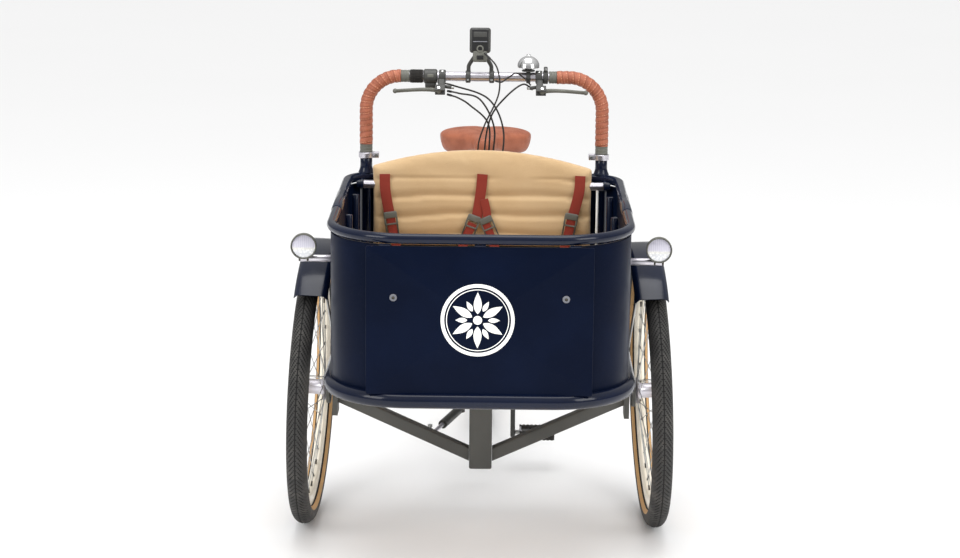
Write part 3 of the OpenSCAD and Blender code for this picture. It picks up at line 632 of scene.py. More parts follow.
@dataclass(frozen=True)
class Webbing(Finish):
    """Woven strap: twill ribs across its width and a little fluff."""

    colour: str = "9c3b2c"
    deep: str = "6d2218"

    def dress(self, shade: Shade) -> None:
        """Adds the ribs as slanted sines of the strap's own length and width."""
        x, _, z = shade.split(shade.coords())
        twill = ((z * 3400) + (x * 1500)).sine() * 0.5 + 0.5
        across = ((x * 4200) - (z * 900)).sine() * 0.5 + 0.5
        fluff = shade.noise(700, 3)
        ribs = twill * 0.6 + across * 0.4
        colour = shade.mix(ribs * 0.7 + fluff * 0.3, tint(self.deep), tint(self.colour))
        shade.set(Base_Color=colour, Roughness=0.8, Sheen_Weight=0.2,
            Normal=shade.bump(ribs + fluff * 0.4, 0.0002, 0.7), Specular_IOR_Level=0.25)


@dataclass(frozen=True)
class Plastic(Finish):
    """Moulded plastic with a fine spark-eroded texture and a little handling gloss."""

    colour: str = "2b2c2e"
    roughness: float = 0.45
    grain: float = 0.00008

    def dress(self, shade: Shade) -> None:
        """Adds the texture."""
        grain = shade.noise(1500, 2)
        handled = shade.noise(30, 4).ramp(0.4, 0.7)
        shade.set(Base_Color=shade.mix(handled * 0.5, tint(self.colour), tint(self.colour, 1.4)),
            Roughness=grain * 0.12 + self.roughness - handled * 0.08,
            Normal=shade.bump(grain, self.grain, 0.6), Specular_IOR_Level=0.4)


@dataclass(frozen=True)
class LampGlass(Finish):
    """Fluted lamp glass, cool above; clear below, painted with the mirror bowl's reflection and a
    faint warm light.
    """

    middle_z: float = 0.737
    reach: float = 0.0255

    def dress(self, shade: Shade) -> None:
        """Adds the two halves, split at the lamp's middle height, and the flutes.

        Args:
            shade: the material to wire.
        """
        x, _, z = shade.split(shade.coords())
        height = (z - self.middle_z) / self.reach
        upper = height.ramp(-0.25, 0.05)
        flutes = (x * 1500).sine() * 0.5 + 0.5
        facet = shade.node("ShaderNodeTexVoronoi", {}, {"Vector": shade.coords(), "Scale": 190.0})
        # Painted warm light: a faint yellow band across the middle of the lower half.
        painted_glow = height.size().ramp(0.45, 0.0) * (1 - upper) * 0.35
        cool = shade.mix(flutes * 0.5, tint("c9c6d6"), tint("eeedf4"))
        # Painted reflection: the lower half is white with grey facets, for the mirror bowl seen
        # through the glass.
        clear = shade.mix(facet.ramp(0.1, 0.7) * 0.6, tint("ffffff"), tint("b9bcc4"))
        colour = shade.mix(upper, shade.mix(painted_glow, clear, tint("fff2b8")), cool)
        shade.set(Base_Color=colour, Roughness=0.12, Metallic=0.25, Coat_Weight=1.0,
            Coat_Roughness=0.02, Normal=shade.bump(flutes * upper + facet * (1 - upper), 0.0003,
            0.5))


@dataclass(frozen=True)
class Wood(Finish):
    """Lacquered birch ply: long grain on the faces and thin layers along the edges."""

    colour: str = "c79a63"
    deep: str = "9a6d3d"

    def dress(self, shade: Shade) -> None:
        """Adds the grain, drawn out along x, and layers that follow the height."""
        _, _, z = shade.split(shade.coords())
        grain = shade.noise(46, 6, (0.09, 1, 1))
        ply = (z * 2400).sine() * 0.5 + 0.5
        colour = shade.mix(grain.ramp(0.35, 0.68), tint(self.colour), tint(self.deep))
        shade.set(Base_Color=shade.mix(ply * 0.18, colour, tint(self.deep)),
            Roughness=grain * 0.2 + 0.38, Normal=shade.bump(grain, 0.0002, 0.5), Coat_Weight=0.2)


class Look(Enum):
    """The finishes used on the tricycle."""

    FRAME = Paint("gloss_navy", "frame_navy", "091125", 0.14, 0.22, 0.22)
    PANEL = Paint("panel_navy", "panel_navy", "070f22", 0.32, 0.0, 0.05)
    SATIN = Paint("satin_grey", "steel_grey", "4a4a47", 0.42, 0.0, 0.35)
    SCREW = Paint("dull_screw", "steel_grey", "6b6c72", 0.35, 0.0, 0.4)
    # Also a painted highlight, on the right upright beside the backrest.
    WHITE = Paint("white_enamel", "rim_cream", "f4f4f0", 0.25, 0.2, 0.4)
    CREAM = Paint("cream_rim", "rim_cream", "e4dccb", 0.28, 0.3, 0.4)
    ALUMINIUM = Metal("polished_aluminium", "aluminium", "d2cfd6", 0.27, (0.1, 1, 1))
    STEEL = Metal("zinc_steel", "steel", "b9bab8", 0.24)
    CHROME = Metal("bright_chrome", "aluminium", "ececec", 0.05)
    DARK_STEEL = Metal("dark_steel", "steel", "5e5a52", 0.32)
    TREAD = Rubber("tread_rubber", "tyre_black", "3c3b3a", "77736d", 0.3)
    WALL = Rubber("tan_wall", "tyre_black", "c39a68", "a58259", 0.5)
    # Painted shade: near-black rubber for the deepest parts of the tread grooves.
    GROOVE_SHADE = Rubber("tread_groove", "tyre_black", "141413", "2a2927", 0.2)
    RUBBER = Rubber("black_rubber", "rubber_black", "2a2826", "4a4744", 0.25)
    WRAP = Leather("leather_wrap", "leather_tan", "ad664b", "7d412d", 0.0145)
    SADDLE = Leather("saddle_hide", "saddle_leather", "a56043", "7c4029")
    CANVAS = Canvas("canvas_weave", "canvas")
    WEBBING = Webbing("red_webbing", "webbing_red")
    BLACK = Plastic("black_plastic", "plastic_black", "3b3b39", 0.42)
    GREY = Plastic("grey_plastic", "plastic_grey", "5e5e57", 0.5)
    # Also painted shade, on the undersides of the mudguards.
    DARK = Plastic("deep_black_plastic", "plastic_black", "1b1b1c", 0.35)
    LAMP_RED = Plastic("red_lamp", "lamp_red", "a3141a", 0.12)
    GLASS = LampGlass("lamp_glass", "plastic_grey")
    PLY = Wood("birch_ply", "plywood")


# Pieces


class Piece:
    """Collects grids and makes them one mesh object."""

    def __init__(self, name: str) -> None:
        """Starts an empty piece."""
        self.name = name
        self.points: list[Grid] = []
        self.faces: list[Grid] = []
        self.maps: list[Grid] = []
        self.looks: list[Look] = []
        self.marks: list[Grid] = []
        self.count = 0

    def index(self, look: Look) -> int:
        """Returns a finish's slot number, adding the slot if it is new."""
        if look not in self.looks:
            self.looks.append(look)
        return self.looks.index(look)

    def add(self, grid: Grid, look: Look, wrap: bool = True, loop: bool = False,
            spots: Grid | None = None, spot_look: Look | None = None) -> "Piece":
        """Adds one grid of points as quads, with texture coordinates in metres along both ways.

        Args:
            grid: rows by columns by three.
            look: its finish.
            wrap: whether the last column joins the first.
            loop: whether the last row joins the first.
            spots: which quads, rows by columns, have another finish.
            spot_look: that finish.

        Returns:
            The piece, for further calls.
        """
        rows, cols = grid.shape[:2]
        i = np.arange(rows if loop else rows - 1)[:, None]
        j = np.arange(cols if wrap else cols - 1)[None]
        i1, j1 = (i + 1) % rows, (j + 1) % cols
        quads = np.stack([i * cols + j, i * cols + j1, i1 * cols + j1, i1 * cols + j], -1)
        across = np.linalg.norm(np.roll(grid, -1, 1) - grid, axis=2).max(0)
        down = np.linalg.norm(np.roll(grid, -1, 0) - grid, axis=2).mean(1)
        u = np.concatenate([[0], np.cumsum(across)])
        v = np.concatenate([[0], np.cumsum(down)])
        flat_i, flat_j = np.broadcast_arrays(i, j)
        uv = np.stack([np.stack([u[flat_j], v[flat_i]], -1),
            np.stack([u[flat_j + 1], v[flat_i]], -1), np.stack([u[flat_j + 1], v[flat_i + 1]], -1),
            np.stack([u[flat_j], v[flat_i + 1]], -1)], 2)
        mark = np.full(quads.shape[:2], self.index(look))
        if spots is not None:
            mark[spots] = self.index(spot_look)
        self.points.append(grid.reshape(-1, 3))
        self.faces.append(quads.reshape(-1, 4) + self.count)
        self.maps.append(uv.reshape(-1, 2))
        self.marks.append(mark.ravel())
        self.count += rows * cols
        return self

    def block(self, size: tuple, radius: float, at: Grid, look: Look, steps: int = 3) -> "Piece":
        """Adds one block with round edges.

        Args:
            size: full sizes along x, y and z.
            radius: radius of the edges.
            at: its middle.
            look: its finish.
            steps: parts in each quarter turn.

        Returns:
            The piece, for further calls.
        """
        return self.add(placed(rounded_block(size, radius, steps), at), look)

    def mesh(self, sharp: float) -> bpy.types.Mesh:
        """Writes the mesh, merges its doubles, turns its faces outwards and marks sharp edges.

        Args:
            sharp: the angle in degrees from which an edge stays sharp.

        Returns:
            The mesh.
        """
        points, faces = np.concatenate(self.points), np.concatenate(self.faces)
        mesh = bpy.data.meshes.new(self.name)
        mesh.vertices.add(len(points))
        mesh.vertices.foreach_set("co", points.ravel())
        mesh.loops.add(faces.size)
        mesh.loops.foreach_set("vertex_index", faces.ravel())
        mesh.polygons.add(len(faces))
        mesh.polygons.foreach_set("loop_start", np.arange(0, faces.size, 4))
        mesh.polygons.foreach_set("material_index", np.concatenate(self.marks))
        mesh.update(calc_edges=True)
        mesh.uv_layers.new(name="UVMap").data.foreach_set("uv", np.concatenate(self.maps).ravel())
        work = bmesh.new()
        work.from_mesh(mesh)
        bmesh.ops.remove_doubles(work, verts=work.verts, dist=2e-6)
        bmesh.ops.recalc_face_normals(work, faces=work.faces)
        work.to_mesh(mesh)
        work.free()
        mesh.shade_smooth()
        mesh.set_sharp_from_angle(angle=math.radians(sharp))
        return mesh

    def make(self, body: str, *nodes: str, sharp: float = 38.0) -> Thing:
        """Makes the object and hands it to the frame.

        Args:
            body: the body it rides on.
            nodes: the design's nodes that it stands for.
            sharp: the angle in degrees from which an edge stays sharp.

        Returns:
            The finished object.
        """
        made = bpy.data.objects.new(self.name, self.mesh(sharp))
        bpy.context.scene.collection.objects.link(made)
        for look in self.looks:
            made.data.materials.append(look.value.material())
        return hand_over(made, body, self.looks[0], *nodes)


def hand_over(made: Thing, body: str, look: Look, *nodes: str) -> Thing:
    """Ties an object to its body and the nodes that it stands for, and reports it."""
    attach(made, body)
    if nodes:
        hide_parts(*nodes)
    LOG.info("%-24s on %-18s %6d faces", made.name, body, len(made.data.polygons))
    return made


# Wheels


@dataclass
class Wheel:
    """A spoked wheel and its tyre, built about its own axle along x."""

    name: str
    body: str
    at: Grid
    turn: Grid
    hub_half: float = 0.036
    barrel_r: float = 0.018
    flange_r: float = 0.032
    bore_r: float = 0.00755
    spokes: int = 36
    rim_line: float = 0.302
    tyre_r: float = 0.024
    seat_r: float = 0.284
    rows: int = 1350
    blocks: int = 150

    def spot(self, grid: Grid) -> Grid:
        """Returns a grid moved from the wheel's own place to its place on the machine."""
        return placed(grid, self.at, self.turn)

    def tyre(self) -> Thing:
        """Builds the tyre: a ring of radius rim_line + r cos(w), with less r in the grooves.

        The grooves are a herringbone: bands where (length round + 1.5 |length across|) / pitch is
        near a whole number and a half. Their deepest quads are near-black, painted shade.

        Returns:
            The finished object.
        """
        reach = math.acos((self.seat_r - self.rim_line) / self.tyre_r)
        w = np.linspace(-reach, reach, 41)
        a = np.linspace(0, FULL_TURN, self.rows, endpoint=False)[:, None]
        pitch = FULL_TURN * (self.rim_line + self.tyre_r) / self.blocks
        across = self.tyre_r * np.abs(w)[None]
        phase = (a * (self.rim_line + self.tyre_r) + 1.5 * across) / pitch
        near = np.abs(phase % 1 - 0.5)
        cut = np.clip((0.17 - near) / 0.08, 0, 1)
        cut = np.maximum(cut, np.clip((0.0011 - across) / 0.0006, 0, 1) * 0.6)
        on_tread = np.clip((1.12 - np.abs(w)) / 0.12, 0, 1)[None]
        shoulder = np.exp(-((np.abs(w) - 1.18) / 0.05) ** 2)[None]
        r = self.tyre_r - 0.0018 * cut * on_tread - 0.0007 * shoulder
        radius = self.rim_line + r * np.cos(w)
        grid = np.stack([r * np.sin(w) + 0 * a, radius * np.sin(a), radius * np.cos(a)], -1)
        grid = self.spot(grid)
        piece = Piece(self.name + "_tyre_cover")
        edge = 4
        # The deepest groove quads take near-black rubber: painted shade in the grooves.
        deep = (cut * on_tread > 0.45)[:, edge:-edge - 1]
        piece.add(grid[:, edge:-edge], Look.TREAD, wrap=False, loop=True, spots=deep,
            spot_look=Look.GROOVE_SHADE)
        piece.add(grid[:, :edge + 1], Look.WALL, wrap=False, loop=True)
        piece.add(grid[:, -edge - 1:], Look.WALL, wrap=False, loop=True)
        piece.add(grid[:, [-1, 0]], Look.RUBBER, wrap=False, loop=True)
        return piece.make(self.body, self.name + "_tyre", sharp=60)

    def centre(self) -> Thing:
        """Builds the rim, the laced spokes with their nipples, and the hub.

        Returns:
            The finished object.
        """
        piece = Piece(self.name + "_wheel_centre")
        rim = both_halves([(-0.0118, 0.2838), (-0.0122, 0.2775), (-0.0115, 0.2735),
            (-0.0085, 0.2672), (-0.0055, 0.2648)])
        piece.add(self.spot(lathe(rim, (0, 0, 0), X_AXIS, 192)), Look.CREAM, loop=True)
        s = np.where(np.arange(self.spokes) % 2 == 0, 1, -1)
        turn = FULL_TURN * np.arange(self.spokes) / self.spokes
        lead = np.where(np.arange(self.spokes) % 4 < 2, 1, -1) * math.radians(52)
        hub_r = self.flange_r - 0.004
        start = np.stack([s * (self.hub_half - 0.006), hub_r * np.sin(turn + lead),
            hub_r * np.cos(turn + lead)], -1)
        end = np.stack([0 * turn, 0.2655 * np.sin(turn), 0.2655 * np.cos(turn)], -1)
        for a, b in zip(start, end):
            length = float(np.linalg.norm(b - a))
            wire = [(0, 0.001), (length - 0.014, 0.001)]
            nipple = [(length - 0.014, 0), (length - 0.014, 0.0021), (length, 0.0025), (length, 0)]
            piece.add(self.spot(lathe(wire, a, b - a, 6)), Look.STEEL)
            piece.add(self.spot(lathe(nipple, a, b - a, 8)), Look.DARK_STEEL)
        h, f = self.hub_half, self.flange_r
        hub = [(-h, self.bore_r), (-h, 0.013), (-h + 0.0028, 0.0135), (-h + 0.003, f - 0.001),
            (-h + 0.004, f), (-h + 0.008, f), (-h + 0.009, f - 0.001),
            (-h + 0.01, self.barrel_r + 0.002), (-h + 0.014, self.barrel_r)]
        piece.add(self.spot(lathe(both_halves(hub), (0, 0, 0), X_AXIS, 64)), Look.ALUMINIUM,
            loop=True)
        self.extras(piece)
        return piece.make(self.body, self.name + "_wheel")

    def extras(self, piece: Piece) -> None:
        """Adds what only this wheel has: nothing on a plain one."""


@dataclass
class DriveWheel(Wheel):
    """The rear wheel: a wide geared hub with a sprocket."""

    teeth: int = 20

    def extras(self, piece: Piece) -> None:
        """Adds the sprocket, whose outline's radius rises and falls once for each tooth."""
        a = np.linspace(0, FULL_TURN, self.teeth * 8, endpoint=False)
        r = 0.0405 + 0.0018 * np.clip(1.6 * np.cos(self.teeth * a), -1, 1)
        outline = np.stack([r * np.cos(a), r * np.sin(a)], -1)
        disc = placed(slab(outline, 0.003, 0.0004), (0, 0, 0), turned(Z_AXIS, 90))
        piece.add(self.spot(disc + np.array([0.05, 0, 0])), Look.DARK_STEEL)
        boss = [(0.03, 0.0062), (0.03, 0.022), (0.032, 0.024), (0.047, 0.024), (0.0485, 0.0225),
            (0.0485, 0.0062)]
        piece.add(self.spot(lathe(boss, (0, 0, 0), X_AXIS, 48)), Look.STEEL, loop=True)


# The box


@dataclass
class CargoBox:
    """The steered box: its two tube rings, its walls and what is fixed to them."""

    body: str = "front_carrier"
    rim_half: float = 0.322
    rim_r: float = 0.011
    ring_half: float = 0.324
    ring_r: float = 0.017
    front_radius: float = 0.17
    rear_radius: float = 0.08
    wall_low: float = 0.475
    wall_high: float = 0.797

    def rim(self) -> Thing:
        """Builds the top tube with its two joint sleeves."""
        line = box_outline(self.rim_half, FRONT_Y + self.rim_r, BACK_Y, self.front_radius,
            self.rear_radius, RIM_Z)
        piece = Piece("top_rim_tube").add(sweep(line, circle(self.rim_r, 28), Z_AXIS, closed=True),
            Look.FRAME, loop=True)
        for s in SIDES:
            a, b = (s * self.rim_half, HUB_Y - 0.33, RIM_Z), (s * self.rim_half, HUB_Y - 0.12,
                RIM_Z)
            piece.add(rod(a, b, self.rim_r + 0.001, 0.0008, 28), Look.FRAME)
        return piece.make(self.body, "top_rim")

    def base_ring(self) -> Thing:
        """Builds the thicker tube under the walls."""
        line = box_outline(self.ring_half, FRONT_Y + 0.009, BACK_Y + 0.008, self.front_radius,
            self.rear_radius, RING_Z)
        piece = Piece("base_ring_tube").add(sweep(line, circle(self.ring_r, 32), Z_AXIS,
            closed=True), Look.FRAME, loop=True)
        return piece.make(self.body, "bottom_ring")

    def side_wall(self, side: int) -> Thing:
        """Builds one bent wall: a thin rounded strip carried round the front and rear corners.

        Args:
            side: -1 for the left, 1 for the right.

        Returns:
            The wall.
        """
        middle = (self.wall_low + self.wall_high) / 2
        corners = [(side * 0.15, -0.947, middle), (side * 0.321, -0.947, middle),
            (side * 0.321, -0.161, middle), (side * 0.24, -0.161, middle)]
        line = rounded_path(np.array(corners), [0, 0.166, 0.076, 0], steps=40)
        reach = np.where(line[:, 1] < -0.5, 0.2005, 0.2962)
        keep = np.abs(line[:, 0]) > reach
        section = rounded_rect(0.008, self.wall_high - self.wall_low, 0.0012, 3)
        piece = Piece(("left" if side < 0 else "right") + "_wall")
        piece.add(capped(sweep(line[keep], section, Z_AXIS)), Look.PANEL)
        return piece.make(self.body, ("left" if side < 0 else "right") + "_side_panel")

    def front_plate(self) -> Thing:
        """Builds the flat front plate with its eased edges."""
        plate = slab(rounded_rect(0.48, 0.32, 0.004, 5), 0.008, 0.0012)
        piece = Piece("front_plate").add(placed(plate, (0, -0.956, 0.637)), Look.PANEL)
        return piece.make(self.body, "front_panel")

    def rear_plate(self) -> Thing:
        """Builds the flat rear plate between the two posts."""
        plate = slab(rounded_rect(0.534, 0.316, 0.003, 4), 0.008, 0.0012)
        piece = Piece("rear_plate").add(placed(plate, (0, -0.161, 0.639)), Look.PANEL)
        return piece.make(self.body, "rear_panel")

    def fixings(self) -> Thing:
        """Builds the plate's screws with their hexagon sockets, the tabs and the brackets.

        Returns:
            The finished object.
        """
        piece = Piece("wall_fixings")
        dome = [(0, 0), (0, 0.008), (0.0006, 0.008), (0.0016, 0.0074), (0.0024, 0.006),
            (0.0029, 0.004), (0.0029, 0.0034)]
        socket = [(0.0029, 0.0034), (0.0012, 0.0033), (0.0012, 0)]
        for s in SIDES:
            at = np.array([s * 0.182, -0.9602, 0.687])
            piece.add(lathe(dome, at, -Y_AXIS, 40), Look.SCREW)
            piece.add(lathe(socket, at, -Y_AXIS, 6), Look.DARK_STEEL)
            piece.block((0.004, 0.016, 0.032), 0.001, (s * 0.3146, -0.725, 0.785), Look.ALUMINIUM)
            for z in (0.776, 0.794):
                piece.add(lathe([(0, 0), (0, 0.003), (0.0012, 0.002), (0.0014, 0)],
                    (s * 0.3126, -0.725, z), -s * X_AXIS, 16), Look.STEEL)
        for x in (-0.2, 0.0, 0.2):
            piece.block((0.024, 0.014, 0.0034), 0.0006, (x, -0.953, 0.799), Look.FRAME)
        return piece.make(self.body, "panel_fixings")

    def emblem(self) -> Thing:
        """Builds the white emblem: a ring round a twelve-leaved rosette.

        A leaf is as wide as the sine of half a turn along its length.

        Returns:
            The finished object.
        """
        at = np.array([-0.004, -0.9603, 0.64])
        flat = 0.0007
        band = ring(0.078, 0.0705, -flat / 2, flat / 2, 0.0001)
        piece = Piece("front_emblem").add(lathe(band, at, Y_AXIS, 128), Look.WHITE)
        thin = ring(0.0665, 0.0648, -flat / 2, flat / 2, 0.0001)
        piece.add(lathe(thin, at, Y_AXIS, 128), Look.WHITE)
        t = np.linspace(0, 1, 22)
        for k in range(12):
            long_leaf = k % 2 == 0
            low, high, wide = (0.0135, 0.0605, 0.0085) if long_leaf else (0.022, 0.047, 0.0052)
            half = wide * np.sin(np.pi * t ** 0.8)
            right = np.stack([half, low + (high - low) * t], -1)
            left = np.stack([-half[-2:0:-1], right[-2:0:-1, 1]], -1)
            leaf = slab(np.concatenate([right, left]), flat, 0.0001)
            piece.add(placed(leaf, at, turned(Y_AXIS, 30 * k)), Look.WHITE)
        boss = [(-flat / 2, 0), (-flat / 2, 0.0095), (flat / 2, 0.0093), (flat / 2, 0)]
        piece.add(lathe(boss, at, -Y_AXIS, 48), Look.WHITE)
        return piece.make(self.body)

    def uprights(self) -> Thing:
        """Builds the two posts with their flared feet on the rim, and the four thin side tubes.

        Returns:
            The finished object.
        """
        piece = Piece("box_posts")
        for s in SIDES:
            foot = (s * LEG_X, BACK_Y, 0)
            low = [(0.484, 0), (0.484, 0.0135), (0.485, 0.0143), (0.799, 0.0143), (0.8, 0)]
            t = np.linspace(0, 1, 9)
            flare = np.stack([0.8215 + 0.018 * t, 0.0143 + 0.0047 * (1 - t) ** 2], -1)
            high = np.concatenate([[(0.8205, 0), (0.8205, 0.0186)], flare,
                [(0.8545, 0.0143), (0.8558, 0.0136), (0.8558, 0)]])
            piece.add(lathe(low, foot, Z_AXIS, 32), Look.FRAME)
            piece.add(lathe(high, foot, Z_AXIS, 32), Look.FRAME)
            for y in (HUB_Y - 0.3, HUB_Y - 0.04):
                piece.add(rod((s * 0.296, y, 0.4785), (s * 0.296, y, 0.7975), 0.008), Look.FRAME)
        return piece.make(self.body, "box_uprights")

    def dress(self) -> None:
        """Builds every piece of the box."""
        self.rim()
        self.base_ring()
        self.side_wall(-1)
        self.side_wall(1)
        self.front_plate()
        self.rear_plate()
        self.fixings()
        self.emblem()
        self.uprights()


# Soft goods


@dataclass
class SoftGoods:
    """The canvas seat and backrest, the cross tube it hangs on and the harness."""

    body: str = "front_carrier"
    pressure: float = 4.0
    frames: int = 20

    def swell(self, made: Thing, voxel: float, cap: float) -> None:
        """Remeshes a padded shape and blows it up with cloth, no point moving further than cap.

        Args:
            made: the object, whose mesh is changed.
            voxel: size of the remesh in metres.
            cap: the furthest that a point may move.
        """
        scene = bpy.context.scene
        made.modifiers.new("remesh", "REMESH").mode = "VOXEL"
        made.modifiers["remesh"].voxel_size = voxel
        self.apply(made)
        before = np.zeros(len(made.data.vertices) * 3)
        made.data.vertices.foreach_get("co", before)
        cloth = made.modifiers.new("cloth", "CLOTH").settings
        cloth.use_pressure, cloth.uniform_pressure_force = True, self.pressure
        cloth.effector_weights.gravity = 0
        for number in range(1, self.frames + 1):
            scene.frame_set(number)
        self.apply(made)
        scene.frame_set(1)
        after = np.zeros(len(made.data.vertices) * 3)
        made.data.vertices.foreach_get("co", after)
        before, after = before.reshape(-1, 3), after.reshape(-1, 3)
        step = after - before
        far = np.linalg.norm(step, axis=1, keepdims=True)
        step *= np.minimum(1, cap / np.maximum(far, 1e-9))
        made.data.vertices.foreach_set("co", (before + step).ravel())

    def apply(self, made: Thing) -> None:
        """Replaces an object's mesh with what its modifiers make of it."""
        seen = made.evaluated_get(bpy.context.evaluated_depsgraph_get())
        mesh = bpy.data.meshes.new_from_object(seen)
        made.modifiers.clear()
        made.data = mesh

    def soft_object(self, name: str, grid: Grid) -> Thing:
        """Returns a plain object of one closed grid, ready to swell."""
        piece = Piece(name).add(grid, Look.CANVAS)
        made = bpy.data.objects.new(name, piece.mesh(60))
        bpy.context.scene.collection.objects.link(made)
        return made

    def finish(self, made: Thing, node: str) -> Thing:
        """Smooths a soft object, gives it its canvas and hands it over as a padded piece."""
        made.modifiers.new("smooth", "SUBSURF").levels = 1
        self.apply(made)
        made.data.materials.clear()
        made.data.materials.append(Look.CANVAS.value.material())
        made.data.shade_smooth()
        hand_over(made, self.body, Look.CANVAS, node)
        return made

    def reshape(self, made: Thing, shift: Callable[[Grid], Grid]) -> None:
        """Moves every point of an object by shift(points), an array of the same shape."""
        flat = np.zeros(len(made.data.vertices) * 3)
        made.data.vertices.foreach_get("co", flat)
        points = flat.reshape(-1, 3)
        made.data.vertices.foreach_set("co", (points + shift(points)).ravel())

    def backrest(self) -> Thing:
        """Builds the hung canvas backrest, with soft rolls across it below the cross tube.

        Returns:
            The finished object.
        """
        x = np.linspace(-0.2675, 0.2625, 40)
        crest = 0.8885 - 0.043 * np.abs(x / 0.265) ** 2.0 - 0.003 * x / 0.25
        outline = np.concatenate([np.stack([x, 0 * x + 0.645], -1),
            np.stack([x[::-1], crest[::-1]], -1)])
        made = self.soft_object("backrest_canvas",
            placed(slab(outline, 0.022, 0.006), (0, PAD_Y, 0)))
        self.swell(made, 0.0055, 0.006)

        def rolls(p: Grid) -> Grid:
            """Front points go in where a roll ends: a saw tooth of height plus slow waves of x."""
            x, y, z = p.T
            wave = 0.0035 * np.sin(x * 11 + 1.3) + 0.0025 * np.sin(x * 23 + z * 30)
            below = np.clip((0.822 - z) / 0.014, 0, 1)
            phase = ((0.812 + wave - z) / 0.046) % 1
            dent = np.clip(phase - 0.42, 0, 1) ** 1.6 * 2.1
            dent *= 1 - np.clip((phase - 0.86) / 0.14, 0, 1) ** 2
            edge = np.clip((0.266 - np.abs(x)) / 0.03, 0.35, 1)
            front = np.clip((PAD_Y - y) / 0.008, 0, 1)
            slack = 0.0012 * np.sin(x * 17 + z * 41) * np.sin(z * 63 + x * 9)
            move = np.zeros_like(p)
            move[:, 1] = front * (below * edge * 0.0135 * dent + (1 - below) * slack)
            return move

        self.reshape(made, rolls)
        return self.finish(made, "backrest_pad")

    def cushion(self) -> Thing:
        """Builds the bench cushion with two sewn channels across it.

        Returns:
            The finished object.
        """
        block = placed(rounded_block((0.532, 0.246, 0.024), 0.01), (0, -0.367, 0.6175))
        made = self.soft_object("bench_cushion_canvas", block)
        self.swell(made, 0.006, 0.006)

        def channels(p: Grid) -> Grid:
            """Top points go down by a narrow bell round each seam."""
            x, _, z = p.T
            seam = np.exp(-((np.abs(x) - 0.09) / 0.005) ** 2)
            move = np.zeros_like(p)
            move[:, 2] = -0.006 * seam * np.clip((z - 0.6175) / 0.006, 0, 1)
            return move

        self.reshape(made, channels)
        return self.finish(made, "bench_cushion")

    def cross_tube(self) -> Thing:
        """Builds the silver cross tube, its two painted sockets and the thin upright tubes; the
        right upright is a painted highlight in white.
        """
        piece = Piece("backrest_tube")
        z = 0.798
        piece.add(rod((-0.286, PAD_Y, z), (0.286, PAD_Y, z), 0.01, sides=28), Look.ALUMINIUM)
        for s in SIDES:
            # Painted highlight: the right upright is white, the left one navy.
            piece.add(rod((s * 0.2715, PAD_Y, 0.602), (s * 0.2715, PAD_Y, z), 0.003),
                Look.WHITE if s > 0 else Look.FRAME)
            socket = [(0, 0.0104), (0, 0.0128), (0.0008, 0.0138), (0.0055, 0.0138),
                (0.0062, 0.0118), (0.016, 0.0112), (0.016, 0), (0, 0)]
            piece.add(lathe(socket, (s * 0.286, PAD_Y, z), s * X_AXIS, 32), Look.FRAME, loop=True)
        return piece.make(self.body, "backrest_bar")

    def strap(self, piece: Piece, knots: list, width: float, fold: bool) -> None:
        """Adds one strap: a thin rounded strip along a smooth line on the face of the canvas.

        Args:
            piece: the piece to add to.
            knots: (x, y, z) points of its middle.
            width: its width.
            fold: whether its first end is folded over and sewn.
        """
        line = even_path(smooth_path(np.array(knots), 8), 0.004)
        thick = np.full(len(line), 0.0017)
        if fold:
            thick[:4] = 0.003
        sections = np.stack([rounded_rect(t, width, min(t, 0.0016) * 0.45, 2) for t in thick])
        cross = np.array([1.0, 0.0, 0.15])
        grid = sweep(line, sections, unit(cross))
        piece.add(capped(grid), Look.WEBBING)

    def harness(self) -> Thing:
        """Builds the three upper straps, the four lower ones and the middle tail.

        Returns:
            The finished object.
        """
        piece = Piece("harness_webbing")
        y = PAD_Y - 0.0205
        uppers = [[(-0.234, 0.826), (-0.233, 0.79), (-0.227, 0.752), (-0.221, 0.722)],
            [(-0.002, 0.828), (-0.005, 0.792), (-0.01, 0.754), (-0.016, 0.716)],
            [(0.23, 0.826), (0.228, 0.79), (0.22, 0.752), (0.211, 0.722)]]
        for knots in uppers:
            self.strap(piece, [(x, y - 0.0012 * (i == 1), z) for i, (x, z) in enumerate(knots)],
                0.025, True)
        lowers = [[(-0.22, 0.722), (-0.213, 0.685), (-0.204, 0.642)],
            [(0.006, 0.708), (0.018, 0.68), (0.033, 0.642)],
            [(-0.024, 0.71), (-0.038, 0.68), (-0.052, 0.642)],
            [(0.21, 0.722), (0.203, 0.685), (0.192, 0.642)]]
        for knots in lowers:
            self.strap(piece, [(x, y - 0.003, z) for x, z in knots], 0.0215, False)
        self.strap(piece, [(0.002, y - 0.0019, 0.768), (0.008, y - 0.0024, 0.742),
            (0.011, y - 0.0024, 0.716)], 0.02, False)
        return piece.make(self.body, "harness_straps", sharp=50)

